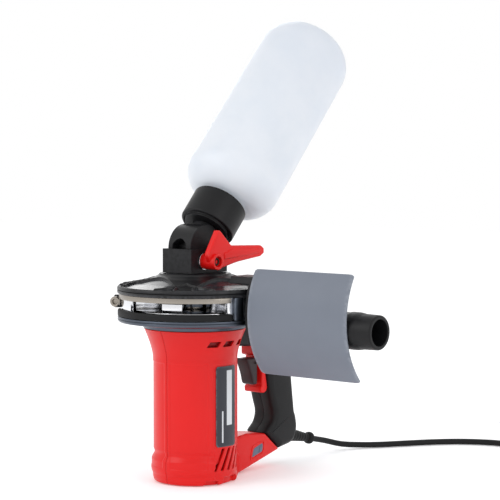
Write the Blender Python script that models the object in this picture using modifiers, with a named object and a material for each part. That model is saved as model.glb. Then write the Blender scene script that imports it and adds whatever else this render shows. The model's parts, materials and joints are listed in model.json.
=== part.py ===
"""Hand-held electric wheel blaster: a motor spins a bladed wheel that throws the abrasive fed from a bottle.

Metres, +Z up. The origin is the centre of the base, on the motor's axis. +X is the dust outlet, +Y the
handle, and -Y the way the abrasive is thrown. The bottle leans towards +Y on a drum whose axis is along X.
"""

import bmesh
import bpy
from math import atan2, cos, degrees, hypot, pi, radians, sin, sqrt
from mathutils import Matrix, Vector

GAP = 0.0003  # running or seating gap between touching pieces
LONG = 0.4  # more than any piece, for cutters that go right through
ROUND = 40  # sides of a large turned piece
SMALL = 18  # sides of a small one

# Motor body
BODY_R, BODY_WALL = 0.040, 0.0025
BODY_FOOT, BODY_STRAIGHT, BODY_TOP = 0.0083, 0.118, 0.1457
BULGE_R, WAIST_R, BULGE_TOP = 0.0418, 0.0390, 0.0235
FLARE_R = 0.0485
CAP_R, CAP_HUB_R, CAP_HUB_TOP = 0.0395, 0.0150, 0.0200
LABEL_LOW, LABEL_HIGH, LABEL_THICK = 0.036, 0.112, 0.0008
LABEL_FROM, LABEL_TO = -20, 18  # degrees round from +X
BODY_SCREW_Y, BODY_SCREW_SEAT, BODY_SCREW_HEIGHTS = 0.0305, 0.0160, (0.068, 0.135)
SCREW_R, SCREW_HEAD_R, SCREW_LONG, BOSS_OUT_R = 0.0013, 0.0028, 0.0190, 0.0042
TOP_VENT_Z, FOOT_VENT_Z = 0.133, 0.024

# Handle
SEAM_LOW, SEAM_HIGH = (0.1105, 0.0166), (0.0890, 0.0345)  # ends of the arm's seam with the grip, as (Y, Z)
LINK_HALF, GRIP_HALF, HANDLE_WALL = 0.0145, 0.0150, 0.0025
TRIGGER_HALF, FRAME_HALF = 0.0080, 0.0110
TRIGGER_PIN_Y, TRIGGER_PIN_Z, TRIGGER_PIN_R = 0.0805, 0.1050, 0.0015
GRIP_SCREWS, GRIP_SCREW_SEAT = (("low", 0.1190, 0.0480), ("high", 0.1090, 0.1270)), 0.0126
BUTTON_Y, BUTTON_Z, BUTTON_LONG, BUTTON_TALL = 0.075, 0.020, 0.020, 0.009
RELIEF_LENGTH, RELIEF_R, RELIEF_TILT = 0.039, 0.0062, 13

# Wheel chamber
FLANGE_R, FLANGE_LOW, FLANGE_TOP = 0.0734, 0.150, 0.1575
NECK_R, SPIGOT_R, SPIGOT_LOW = 0.049, 0.043, 0.141
CHAMBER_R, LINER_WALL, BAND_WALL = 0.0655, 0.0040, 0.0022
CHAMBER_TOP = 0.1787
MOUTH_FROM, MOUTH_TO = -108, -23
LIP_FROM, LIP_TO, LIP_TOP = -139, -20, 0.1640
BAND_FROM, BAND_TO, BOLT_ANGLE, BOLT_FROM_AXIS = 18, 196, 214, 0.0752
HEADER_LOW = 0.1737  # the liner runs on above the mouth from here up
COVER_R, COVER_LOW, COVER_RIM, COVER_UNDER, CAGE_R = 0.0736, 0.1790, 0.1865, 0.1910, 0.0170
CONE_TOP_R, CONE_TOP, FEED_R, BUSH_R = 0.0330, 0.1970, 0.0085, 0.0160
PORT_HALF, PORT_LOW, PORT_HIGH = 0.0120, 0.1610, 0.1770

# Spinning parts
SHAFT_R, SHAFT_LOW, SHAFT_TOP = 0.0040, 0.0135, 0.1770
BEARING_R, BEARING_TALL = 0.0110, 0.0080
LOW_BEARING_Z, HIGH_BEARING_Z = 0.0105, 0.1355
STACK_LOW, STACK_HIGH, ROTOR_R, STATOR_R = 0.0735, 0.1140, 0.0200, 0.0335
WHEEL_R, DISC_LOW, DISC_THICK, BLADE_TALL = 0.0590, 0.1590, 0.0050, 0.0085
BLADES, BLADE_ARC, BLADE_FIRST, EYE_R = 6, 20, -70, 0.0190
COVER_DISC_THICK = 0.0040
IMPELLER_R, IMPELLER_TOP, NUT_R, NUT_TALL = 0.0125, 0.1715, 0.0070, 0.0045

# Cradle, swivel drum and bottle
CRADLE_HALF_X, CRADLE_HALF_Y, CRADLE_LOW = 0.0180, 0.0255, 0.1983
PIVOT_Z, DRUM_R, DRUM_HALF, DRUM_NECK_R = 0.2210, 0.0225, 0.0140, 0.0130
TRUNNION_R, TRUNNION_LONG = 0.0050, 0.0025
LEAN = 42  # degrees from upright towards the handle
CAP_OUT_R, CAP_NEAR, CAP_FAR, CAP_WALL = 0.0270, 0.0230, 0.0552, 0.0038
NECK_OUT_R, NECK_NEAR, BOTTLE_WALL = 0.0218, 0.0294, 0.0016
BOTTLE_R, SHOULDER, BOTTLE_END = 0.0468, 0.0585, 0.2705
SHOULDER_ROUND, END_ROUND = 0.0270, 0.0300

# Clamp lever
LEVER_Y, LEVER_Z = -0.0075, 0.2095
WASHER_R, WASHER_THICK, BOSS_R, BOSS_END = 0.0078, 0.0010, 0.0075, 0.0360
LEVER_PLATE_FROM, LEVER_PLATE_TO = 0.0270, 0.0330
SOCKET_R, SOCKET_DEEP, CLAMP_SCREW_R = 0.0050, 0.0060, 0.0025

# Dust outlet and guard
DUCT_FROM, DUCT_TO, DUCT_HALF_Y, DUCT_LOW, DUCT_TOP = 0.0765, 0.1060, 0.0200, 0.1350, 0.1890
BRIDGE_FROM, BRIDGE_HALF_Y, BRIDGE_LOW, BRIDGE_TOP = 0.0530, 0.0140, 0.1910, 0.1975
TUBE_Z, TUBE_R, TUBE_BORE_R, TUBE_END = 0.1548, 0.0162, 0.0120, 0.2163
GUARD_FROM, GUARD_TO, GUARD_R, GUARD_WALL = 0.0810, 0.1938, 0.0800, 0.0020
GUARD_FRONT_Y, GUARD_MID_Z, GUARD_LOW, GUARD_TOP = -0.0200, 0.1630, 0.1080, 0.2053

# Mains cord
CORD_R = 0.0030
COIL_X, COIL_Y, COIL_R, COIL_THICK, COIL_FLAT = 0.160, 0.395, 0.0367, 0.0125, 0.75
PLUG_Y, PLUG_NOSE, PLUG_LONG, PLUG_HALF_Y, PLUG_TALL = 0.4425, 0.0840, 0.0380, 0.0140, 0.0200
PIN_R, PIN_LONG, PIN_APART, TAIL_R, TAIL_LONG = 0.0024, 0.0190, 0.0190, 0.0048, 0.0120
CORD_ROUTE = (
    (0.0000, 0.2020, 0.0121),
    (0.0040, 0.2240, 0.0062),
    (0.0140, 0.2440, 0.0038),
    (0.0270, 0.2620, 0.0032),
    (0.0430, 0.2860, 0.0032),
    (0.0600, 0.3110, 0.0032),
    (0.0830, 0.3340, 0.0032),
    (0.1100, 0.3475, 0.0032),
    (0.1330, 0.3490, 0.0032),
)

RED = ("red_shell", (0.70, 0.020, 0.015), 0.38, 0.0)
BLACK = ("black_plastic", (0.018, 0.018, 0.020), 0.50, 0.0)
RUBBER = ("black_rubber", (0.012, 0.012, 0.013), 0.75, 0.0)
DARK = ("dark_trigger", (0.045, 0.040, 0.040), 0.55, 0.0)
CAST = ("cast_alloy", (0.30, 0.32, 0.34), 0.42, 1.0)
POLISHED = ("polished_steel", (0.80, 0.80, 0.82), 0.12, 1.0)
STEEL = ("plain_steel", (0.55, 0.54, 0.52), 0.32, 1.0)
COPPER = ("copper", (0.72, 0.36, 0.18), 0.35, 1.0)
PLATE = ("label_film", (0.020, 0.030, 0.045), 0.35, 0.0)
BUTTON = ("grey_button", (0.24, 0.28, 0.33), 0.45, 0.0)
GUARD = ("grey_guard", (0.19, 0.21, 0.25), 0.60, 0.0)
BOTTLE = ("bottle_plastic", (0.86, 0.90, 0.95), 0.35, 0.0)

parts = None
cutters = None


def start():
    """Empties the scene and makes the two collections: the object's parts, and the tools that shape them."""
    global parts, cutters
    for obj in list(bpy.data.objects):
        bpy.data.objects.remove(obj)
    parts = bpy.data.collections.new("wheel_blaster")
    cutters = bpy.data.collections.new("cutters")
    for collection in (parts, cutters):
        bpy.context.scene.collection.children.link(collection)


def material(look):
    name, colour, roughness, metallic = look
    found = bpy.data.materials.get(name)
    if found:
        return found
    made = bpy.data.materials.new(name)
    made.use_nodes = True
    made.diffuse_color = (*colour, 1)
    surface = made.node_tree.nodes["Principled BSDF"]
    surface.inputs["Base Color"].default_value = (*colour, 1)
    surface.inputs["Roughness"].default_value = roughness
    surface.inputs["Metallic"].default_value = metallic
    return made


def named(obj, name, look):
    """Puts a finished shape among the parts, or among the cutters if it has no look."""
    obj.name = name
    for collection in list(obj.users_collection):
        collection.objects.unlink(obj)
    (parts if look else cutters).objects.link(obj)
    if look:
        obj.data.materials.clear()
        obj.data.materials.append(material(look))
        obj.data.shade_smooth()
        obj.data.set_sharp_from_angle(angle=radians(32))
    else:
        obj.hide_render = True
        obj.display_type = "WIRE"
    return obj


def boolean(obj, operation, other):
    """other is joined to, cut from or crossed with obj. It becomes a hidden tool."""
    modifier = obj.modifiers.new(operation.lower(), "BOOLEAN")
    modifier.operation = operation
    modifier.solver = "EXACT"
    modifier.object = other
    if other.name not in cutters.objects:
        named(other, other.name, None)
    return obj


def cut(obj, *tools):
    for tool in tools:
        boolean(obj, "DIFFERENCE", tool)
    return obj


def join(obj, *tools):
    for tool in tools:
        boolean(obj, "UNION", tool)
    return obj


def block(name, low, high, look=None, bevel=0.0):
    """A box between two corners."""
    low, high = Vector(low), Vector(high)
    bpy.ops.mesh.primitive_cube_add(size=1, location=(low + high) / 2)
    obj = bpy.context.object
    obj.data.transform(Matrix.Diagonal((*(high - low), 1)))
    if bevel:
        rounded = obj.modifiers.new("edges", "BEVEL")
        rounded.width = bevel
        rounded.segments = 2
    return named(obj, name, look)


def along(axis):
    """The rotation that takes +Z to an axis."""
    return Vector((0, 0, 1)).rotation_difference(Vector(axis))


def rod(name, radius, length, start_at, axis=(0, 0, 1), look=None, sides=SMALL):
    """A cylinder from start_at along an axis."""
    axis = Vector(axis).normalized()
    middle = Vector(start_at) + axis * length / 2
    bpy.ops.mesh.primitive_cylinder_add(vertices=sides, radius=radius, depth=length, location=middle)
    obj = bpy.context.object
    obj.rotation_euler = along(axis).to_euler()
    return named(obj, name, look)


def turned(name, profile, look=None, sides=ROUND, at=(0, 0, 0), axis=(0, 0, 1), ring=True):
    """A profile of (radius, height) points, top to bottom down its outer side, turned about an axis.
    ring joins the last point to the first."""
    mesh = bpy.data.meshes.new(name)
    count = len(profile)
    edges = [(i, i + 1) for i in range(count - 1)] + ([(count - 1, 0)] if ring else [])
    mesh.from_pydata([(r, 0, z) for r, z in profile], edges, [])
    obj = bpy.data.objects.new(name, mesh)
    parts.objects.link(obj)
    screw = obj.modifiers.new("turn", "SCREW")
    screw.steps = screw.render_steps = sides
    screw.use_merge_vertices = True
    screw.merge_threshold = 0.00002
    obj.location = at
    obj.rotation_euler = along(axis).to_euler()
    return named(obj, name, look)


def prism(name, outline, thick, at=(0, 0, 0), plane="XY", look=None):
    """A flat outline given a thickness on both sides of its plane: XY looks along Z, YZ along X."""
    curve = bpy.data.curves.new(name, "CURVE")
    curve.dimensions = "2D"
    curve.fill_mode = "BOTH"
    curve.extrude = thick / 2
    spline = curve.splines.new("POLY")
    spline.points.add(len(outline) - 1)
    for point, (a, b) in zip(spline.points, outline, strict=True):
        point.co = (a, b, 0, 1)
    spline.use_cyclic_u = True
    drawn = bpy.data.objects.new(name, curve)
    bpy.context.scene.collection.objects.link(drawn)
    graph = bpy.context.evaluated_depsgraph_get()
    mesh = bpy.data.meshes.new_from_object(drawn.evaluated_get(graph))
    bpy.data.objects.remove(drawn)
    shape = bmesh.new()
    shape.from_mesh(mesh)
    bmesh.ops.remove_doubles(shape, verts=shape.verts, dist=1e-6)
    if plane == "YZ":
        shape.transform(Matrix(((0, 0, 1, 0), (1, 0, 0, 0), (0, 1, 0, 0), (0, 0, 0, 1))))
    bmesh.ops.recalc_face_normals(shape, faces=shape.faces)
    shape.to_mesh(mesh)
    shape.free()
    obj = bpy.data.objects.new(name, mesh)
    obj.location = at
    parts.objects.link(obj)
    return named(obj, name, look)


def arc(radius, start, end, step=7.5, middle=(0, 0)):
    """Points round a circle from one angle to another, in degrees."""
    count = max(2, round(abs(end - start) / step))
    angles = [radians(start + (end - start) * i / count) for i in range(count + 1)]
    return [(middle[0] + radius * cos(a), middle[1] + radius * sin(a)) for a in angles]


def sector(name, inner, outer, low, high, start, end, look=None, step=7.5):
    """An upright wall bent round the motor's axis between two angles."""
    outline = arc(outer, start, end, step) + arc(inner, end, start, step)
    return prism(name, outline, high - low, (0, 0, (low + high) / 2), look=look)


def inset(outline, wall):
    """The outline moved in by a wall all round. It runs anticlockwise."""
    points = [Vector(p) for p in outline]
    moved = []
    for i, here in enumerate(points):
        before = (here - points[i - 1]).normalized()
        after = (points[(i + 1) % len(points)] - here).normalized()
        inward = (Vector((-before.y, before.x)) + Vector((-after.y, after.x))).normalized()
        moved.append(tuple(here + inward * wall / max(0.4, inward.dot(Vector((-after.y, after.x))))))
    return moved


def keep_side(obj, side):
    """Leaves only the half of a shape on one side of the plane that splits the casing."""
    near, far = side * GAP / 2, -side * LONG
    low, high = min(near, far), max(near, far)
    return cut(obj, block(f"{obj.name}_split", (low, -LONG, -LONG), (high, LONG, LONG)))


def body_radius(z):
    """The outer radius of the body at a height in its flare."""
    share = max(0.0, (z - BODY_STRAIGHT) / (BODY_TOP - BODY_STRAIGHT))
    return BODY_R + (FLARE_R - BODY_R) * share ** 1.5


def body_profile(out=0.0):
    """The body's outside, top to bottom, moved out by a distance."""
    flare = [BODY_TOP - (BODY_TOP - BODY_STRAIGHT) * i / 5 for i in range(6)]
    points = [(body_radius(z) + out, z) for z in flare]
    return points + [
        (BODY_R + out, BULGE_TOP + 0.008),
        (WAIST_R + out, BULGE_TOP + 0.0055),
        (WAIST_R + out, BULGE_TOP + 0.0030),
        (BULGE_R + out, BULGE_TOP - 0.0010),
        (BULGE_R + out, BODY_FOOT + 0.0035),
        (BODY_R + out, BODY_FOOT),
    ]


def link_outline():
    """The red arm between the body's foot and the grip, seen from the side, as (Y, Z)."""
    return [
        (BODY_R - 0.010, BODY_FOOT),
        (BODY_R + 0.0030, BODY_FOOT),
        (BODY_R + 0.0040, 0.0006),
        (BODY_R + 0.0090, 0.0006),
        SEAM_LOW,
        SEAM_HIGH,
        (0.0620, 0.0378),
        (BODY_R - 0.010, 0.0350),
    ]


def grip_outline():
    """The black grip and its upper arm, seen from the side, as (Y, Z)."""
    along_y, along_z = SEAM_LOW[0] - SEAM_HIGH[0], SEAM_HIGH[1] - SEAM_LOW[1]
    off = 1.2 * GAP / hypot(along_y, along_z)
    return [
        (SEAM_HIGH[0] + along_z * off, SEAM_HIGH[1] + along_y * off),
        (SEAM_LOW[0] + along_z * off, SEAM_LOW[1] + along_y * off),
        (0.1345, 0.0205),
        (0.1400, 0.0360),
        (0.1370, 0.0500),
        (0.1295, 0.0950),
        (0.1270, 0.1320),
        (0.1200, 0.1425),
        (0.1090, 0.1455),
        (0.0350, 0.1455),
        (0.0350, 0.1250),
        (0.0700, 0.1222),
        (0.0865, 0.1220),
        (0.0912, 0.1175),
        (0.0920, 0.1040),
        (0.0925, 0.0950),
        (0.0958, 0.0740),
        (0.1030, 0.0530),
        (0.1000, 0.0440),
        (SEAM_HIGH[0] + 0.0040, 0.0385),
    ]


def frame_outline():
    """The red C that surrounds the trigger, as (Y, Z)."""
    return [
        (0.0850, 0.0752),
        (0.0900, 0.0742),
        (0.0935, 0.0757),
        (0.0950, 0.0790),
        (0.0920, 0.0950),
        (0.0914, 0.1040),
        (0.0907, 0.1172),
        (0.0862, 0.1216),
        (0.0800, 0.1216),
        (0.0800, 0.1125),
        (0.0866, 0.1105),
        (0.0866, 0.0818),
        (0.0845, 0.0805),
    ]


def trigger_outline():
    return [
        (0.0680, 0.1096),
        (0.0697, 0.1040),
        (0.0742, 0.0940),
        (0.0765, 0.0855),
        (0.0782, 0.0832),
        (0.0835, 0.0832),
        (0.0838, 0.1096),
    ]


def casing_half(side, name):
    """One half of the red body with its half of the lower arm, hollow, with its vents and screw places."""
    shell = turned(name, [(0, BODY_TOP), *body_profile(), (0, BODY_FOOT)], RED, ring=False)
    arm = prism(f"{name}_arm", link_outline(), 2 * LINK_HALF, plane="YZ")
    keep_side(join(shell, arm), side)
    inner = [(r, z) for r, z in body_profile(-BODY_WALL)]
    core = turned(f"{name}_core", [(0, BODY_TOP + 0.01), (inner[0][0], BODY_TOP + 0.01), *inner[:-1],
                                   (BODY_R - BODY_WALL, 0), (0, 0)], ring=False)
    for tag, y, z in body_screws():
        cut(core, rod(f"{name}_boss_{tag}", BOSS_OUT_R, 0.08, (-0.04, y, z), (1, 0, 0)))
    cut(shell, core)
    hollow = [(y, z) for y, z in inset(link_outline(), HANDLE_WALL)]
    hollow[0], hollow[-1] = (BODY_R - 0.004, hollow[1][1]), (BODY_R - 0.004, hollow[-1][1])
    cut(shell, prism(f"{name}_arm_hollow", hollow[:1] + hollow[2:], 2 * (LINK_HALF - HANDLE_WALL),
        plane="YZ"))
    for tag, y, z in body_screws():
        screw_place(shell, f"{name}_{tag}", BODY_SCREW_SEAT, y, z)
    if side > 0:
        for at in (-24, -1.5, 25):
            cut(shell, slot(f"{name}_top_vent_{at}", at, TOP_VENT_Z, 0.0120, 0.0055, 38))
        for at in (-14, -2, 10, 22, 34):
            cut(shell, slot(f"{name}_foot_vent_{at}", at, FOOT_VENT_Z, 0.0038, 0.0208, 30))
        cut(shell, button_plug("button_hole", GAP, LINK_HALF - 0.008, LINK_HALF + 0.01, None))
    return shell


def slot(name, angle, z, wide, tall, slant):
    """A slanted vent cutter through the body wall, at an angle round from +X."""
    obj = block(name, (-0.012, -wide / 2, -tall / 2), (0.012, wide / 2, tall / 2))
    shear = Matrix.Shear("XZ", 4, (0, 0))
    shear[1][2] = sin(radians(slant))
    obj.data.transform(shear)
    turn = radians(angle)
    obj.rotation_euler = (0, 0, turn)
    obj.location = (body_radius(z) * cos(turn), body_radius(z) * sin(turn), z)
    return obj


def button_plug(name, wider, low, high, look):
    """The oval lock button, or its hole when made wider."""
    outline = [
        (BUTTON_Y + (BUTTON_LONG / 2 + wider) * cos(a), BUTTON_Z + (BUTTON_TALL / 2 + wider) * sin(a))
        for a in (2 * pi * i / 24 for i in range(24))
    ]
    return prism(name, outline, high - low, ((low + high) / 2, 0, 0), "YZ", look)


def make_casing():
    casing_half(1, "housing_right")
    casing_half(-1, "housing_left")
    edge, seat_r, seat = 0.0030, BEARING_R + GAP, LOW_BEARING_Z - GAP
    turned("base_cap", [
        (0, seat), (seat_r, seat), (seat_r, CAP_HUB_TOP), (CAP_HUB_R, CAP_HUB_TOP), (CAP_HUB_R,
        BODY_FOOT - GAP),
        (CAP_R, BODY_FOOT - GAP), (CAP_R, edge), (CAP_R - edge, 0), (0, 0),
    ], RED, ring=False)
    sector("name_plate", BODY_R + GAP, BODY_R + GAP + LABEL_THICK, LABEL_LOW, LABEL_HIGH, LABEL_FROM,
        LABEL_TO, PLATE)
    for tag, y, z in body_screws():
        screw(f"housing_screw_{tag}", (-BODY_SCREW_SEAT - GAP, y, z))


def body_screws():
    """The name, Y and Z of each screw that holds the body's halves together."""
    heights = zip(("low", "high"), BODY_SCREW_HEIGHTS, strict=True)
    return [(f"{place}_{level}", y, z) for level, z in heights
            for place, y in (("front", -BODY_SCREW_Y), ("back", BODY_SCREW_Y))]


def screw_place(shell, tag, seat, y, z):
    """A screw's shank hole and the recess for its head, which sits this far to the left of the split."""
    cut(shell, rod(f"{tag}_hole", SCREW_R + GAP, seat + 0.010, (-seat - 0.002, y, z), (1, 0, 0), sides=12))
    cut(shell, rod(f"{tag}_recess", SCREW_HEAD_R + GAP, LONG, (-seat, y, z), (-1, 0, 0)))


def screw(name, under_head, head_r=SCREW_HEAD_R, head_tall=0.0020, shank_r=SCREW_R, shank_long=SCREW_LONG,
    axis=(1, 0, 0)):
    """A pan-head screw whose shank runs along axis from under its head, with a round socket in the head."""
    return turned(name, [
        (head_r * 0.45, head_tall), (head_r * 0.8, head_tall), (head_r, head_tall * 0.55), (head_r, 0),
        (shank_r, 0), (shank_r, -shank_long), (0, -shank_long), (0, head_tall * 0.45),
        (head_r * 0.45, head_tall * 0.45),
    ], STEEL, 16, under_head, -Vector(axis))


def make_handle():
    for side, name in ((1, "grip_right"), (-1, "grip_left")):
        grip = prism(name, grip_outline(), 2 * GRIP_HALF, plane="YZ", look=BLACK)
        saddle = [(0, BODY_TOP + 0.02), (body_radius(BODY_TOP) + GAP + 0.001, BODY_TOP + 0.02)]
        saddle += [*body_profile(GAP), (0, BODY_FOOT)]
        keep_side(grip, side)
        cut(grip, turned(f"{name}_saddle", saddle, ring=False))
        hollow = inset(grip_outline(), HANDLE_WALL)
        hollow = [(max(y, BODY_R + 0.014), z) for y, z in hollow]
        inside = prism(f"{name}_hollow", hollow, 2 * (GRIP_HALF - HANDLE_WALL), plane="YZ")
        for tag, y, z in GRIP_SCREWS:
            cut(inside, rod(f"{name}_boss_{tag}", BOSS_OUT_R, 0.08, (-0.04, y, z), (1, 0, 0)))
        cut(grip, inside)
        for tag, y, z in GRIP_SCREWS:
            screw_place(grip, f"{name}_{tag}", GRIP_SCREW_SEAT, y, z)
    frame = prism("trigger_frame", frame_outline(), 2 * FRAME_HALF, plane="YZ", look=RED)
    ear_low, ear_high = (TRIGGER_PIN_Y - 0.0035, TRIGGER_PIN_Z - 0.0035), (0.0880, 0.1110)
    for side, name in ((1, "right"), (-1, "left")):
        inner, outer = side * (TRIGGER_HALF + 2 * GAP), side * FRAME_HALF
        low, high = min(inner, outer), max(inner, outer)
        join(frame, block(f"frame_ear_{name}", (low, *ear_low), (high, *ear_high)))
    cut(frame, rod("frame_pin_hole", TRIGGER_PIN_R + GAP, 0.06, (-0.03, TRIGGER_PIN_Y, TRIGGER_PIN_Z), (1,
        0, 0)))
    trigger = prism("trigger", trigger_outline(), 2 * TRIGGER_HALF, plane="YZ", look=DARK)
    cut(trigger, rod("trigger_pin_hole", TRIGGER_PIN_R + GAP, 0.06, (-0.03, TRIGGER_PIN_Y, TRIGGER_PIN_Z),
        (1, 0, 0)))
    pin_half = FRAME_HALF - GAP
    rod("trigger_pin", TRIGGER_PIN_R, 2 * pin_half, (-pin_half, TRIGGER_PIN_Y, TRIGGER_PIN_Z), (1, 0, 0),
        STEEL)
    block("switch_module", (-0.0090, 0.0985, 0.0860), (0.0090, 0.1190, 0.1180), BLACK, 0.0010)
    button_plug("lock_button", 0, LINK_HALF - 0.0060, LINK_HALF + 0.0008, BUTTON)
    for tag, y, z in GRIP_SCREWS:
        screw(f"grip_screw_{tag}", (-GRIP_SCREW_SEAT - GAP, y, z))


def make_strain_relief():
    """The flexible sleeve behind the grip, tapering to a bead where the cord comes out."""
    direction = Vector((0, cos(radians(RELIEF_TILT)), -sin(radians(RELIEF_TILT))))
    start_at = Vector((0, 0.1392, 0.0265))
    bead = RELIEF_LENGTH
    turned("strain_relief", [
        (0, bead), (CORD_R + 0.0012, bead), (RELIEF_R - 0.0002, bead - 0.0012), (RELIEF_R, bead - 0.0030),
        (RELIEF_R - 0.0008, bead - 0.0052), (0.0044, bead - 0.0062), (RELIEF_R + 0.0010, 0.0), (0, 0.0),
    ], RUBBER, 24, start_at, direction, ring=False)
    return start_at + direction * RELIEF_LENGTH, direction


def make_cord(exit_at, direction):
    """The mains cord from the bead to the coil, its coil, the tie round it and the plug lying on it."""
    route = [exit_at + direction * GAP, exit_at + direction * 0.010, *map(Vector, CORD_ROUTE)]
    centre = Vector((COIL_X, COIL_Y, 0))
    curve = bpy.data.curves.new("cord", "CURVE")
    curve.dimensions = "3D"
    curve.bevel_depth = CORD_R
    curve.bevel_resolution = 2
    curve.use_fill_caps = True
    points = smooth(route, 0.0075)
    spline = curve.splines.new("POLY")
    spline.points.add(len(points) - 1)
    for point, place in zip(spline.points, points, strict=True):
        point.co = (*place, 1)
    obj = bpy.data.objects.new("cord", curve)
    parts.objects.link(obj)
    curve.materials.append(material(RUBBER))
    turned("cord_coil", coil_section(0), RUBBER, 28, centre)
    tie_at = radians(-60)
    half, strap, tie_wall = COIL_THICK + 0.0022, 0.005, 0.0018
    tie = block("cord_tie", (-half, -strap, 0.0001), (half, strap, 2 * COIL_THICK * COIL_FLAT + tie_wall),
        BLACK)
    hole = turned("cord_tie_hole", coil_section(GAP), None, 28, centre)
    tie.location += Vector((centre.x + COIL_R * cos(tie_at), centre.y + COIL_R * sin(tie_at), 0))
    tie.rotation_euler = (0, 0, tie_at)
    cut(tie, hole)
    make_plug()


def coil_section(wider):
    """The coil's oval section, standing on the floor, or the space it needs when made wider."""
    tall = COIL_THICK * COIL_FLAT
    angles = [pi / 2 - 2 * pi * i / 12 for i in range(12)]
    return [(COIL_R + (COIL_THICK + wider) * cos(a), tall + (tall + wider) * sin(a)) for a in angles]


def make_plug():
    """The moulded plug, lying beside the coil with its pins towards -X."""
    back, middle = PLUG_NOSE + PLUG_LONG, PLUG_TALL / 2
    low, high = (PLUG_NOSE, PLUG_Y - PLUG_HALF_Y, 0.0002), (back, PLUG_Y + PLUG_HALF_Y, PLUG_TALL)
    body = block("plug", low, high, BLACK, 0.004)
    for i, side in enumerate((-1, 1)):
        pin_from = (PLUG_NOSE + 0.003, PLUG_Y + side * PIN_APART / 2, middle)
        join(body, rod(f"plug_pin_{i}", PIN_R, PIN_LONG + 0.003, pin_from, (-1, 0, 0), sides=12))
    join(body, rod("plug_tail", TAIL_R, TAIL_LONG + 0.003, (back - 0.003, PLUG_Y, middle), (1, 0, 0),
        sides=12))


def smooth(route, spacing):
    """Evenly spaced points along a smooth curve through the route's points."""
    ends = [2 * route[0] - route[1], *route, 2 * route[-1] - route[-2]]
    dense = []
    for before, a, b, after in zip(ends, ends[1:], ends[2:], ends[3:], strict=False):
        for i in range(24):
            t = i / 24
            dense.append(0.5 * (2 * a + (b - before) * t + (2 * before - 5 * a + 4 * b - after) * t**2
                                + (3 * a - before - 3 * b + after) * t**3))
    dense.append(route[-1])
    length = sum((q - p).length for p, q in zip(dense, dense[1:], strict=False))
    step = length / max(1, round(length / spacing))
    kept, gone = [dense[0]], 0.0
    for p, q in zip(dense, dense[1:], strict=False):
        gone += (q - p).length
        if gone >= step * len(kept) - 1e-9 and len(kept) < round(length / step):
            kept.append(q)
    return [*kept, dense[-1]]


def make_motor():
    turned("stator", [
        (ROTOR_R + 0.0010, STACK_HIGH), (STATOR_R, STACK_HIGH), (STATOR_R, STACK_LOW), (ROTOR_R + 0.0010,
        STACK_LOW),
    ], STEEL, 36)
    for name, low, high in (("field_coil_low", STACK_LOW - 0.008, STACK_LOW - GAP), ("field_coil_high",
        STACK_HIGH + GAP, STACK_HIGH + 0.006)):
        turned(name, [(ROTOR_R + 0.003, high), (STATOR_R - 0.008, high), (STATOR_R - 0.008, low),
            (ROTOR_R + 0.003, low)], COPPER, 24)
    for name, low in (("lower_bearing", LOW_BEARING_Z), ("upper_bearing", HIGH_BEARING_Z)):
        top, bottom = low + BEARING_TALL, low
        turned(name, [
            (SHAFT_R + GAP, top), (BEARING_R, top), (BEARING_R, bottom), (SHAFT_R + GAP, bottom),
        ], STEEL, 24)
    shaft_core = GAP + SHAFT_R
    turned("rotor_core", [
        (shaft_core, STACK_HIGH + 0.002), (ROTOR_R, STACK_HIGH + 0.002), (ROTOR_R,
        STACK_LOW - 0.002), (shaft_core, STACK_LOW - 0.002),
    ], STEEL, 32)
    turned("commutator", [(shaft_core, 0.062), (0.0115, 0.062), (0.0115, 0.046), (shaft_core, 0.046)],
        COPPER, 24)
    for name, side in (("brush_holder_right", 1), ("brush_holder_left", -1)):
        low, high = sorted((side * 0.0125, side * 0.0330))
        block(name, (low, -0.0045, 0.0490), (high, 0.0045, 0.0590), BLACK, 0.0006)
    rod("motor_shaft", SHAFT_R, SHAFT_TOP - SHAFT_LOW, (0, 0, SHAFT_LOW), look=STEEL, sides=24)
    fan = turned("cooling_fan", [
        (shaft_core, 0.1290), (0.0100, 0.1290), (0.0100, 0.1235), (0.0320, 0.1225), (0.0320,
        0.1205), (shaft_core, 0.1205),
    ], BLACK, 32)
    for i in range(8):
        blade = block(f"fan_blade_{i}", (0.0085, -0.0008, 0.1215), (0.0300, 0.0008, 0.1280))
        blade.data.transform(Matrix.Translation(blade.location))
        blade.location = (0, 0, 0)
        blade.rotation_euler = (0, 0, 2 * pi * i / 8)
        join(fan, blade)


def make_flange():
    seat_r, seat_top = BEARING_R + GAP, HIGH_BEARING_Z + BEARING_TALL + GAP
    turned("adapter_flange", [
        (SHAFT_R + 0.0012, FLANGE_TOP), (FLANGE_R - 0.0008, FLANGE_TOP), (FLANGE_R, FLANGE_TOP - 0.0010),
        (FLANGE_R, FLANGE_LOW + 0.0035), (FLANGE_R - 0.0015, FLANGE_LOW + 0.0018), (FLANGE_R - 0.0120,
        FLANGE_LOW + 0.0004),
        (NECK_R + 0.005, FLANGE_LOW), (NECK_R, BODY_TOP + GAP), (SPIGOT_R, BODY_TOP + GAP), (SPIGOT_R,
        SPIGOT_LOW),
        (SPIGOT_R - 0.003, SPIGOT_LOW), (SPIGOT_R - 0.003, FLANGE_LOW - 0.0025), (0.0150,
        FLANGE_LOW - 0.0025),
        (0.0150, HIGH_BEARING_Z - 0.001), (seat_r, HIGH_BEARING_Z - 0.001), (seat_r,
        seat_top), (SHAFT_R + 0.0012, seat_top),
    ], CAST, 40)


def dust_port(name):
    return block(name, (CHAMBER_R - 0.02, -PORT_HALF, PORT_LOW), (DUCT_TO - 0.006, PORT_HALF, PORT_HIGH))


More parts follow.
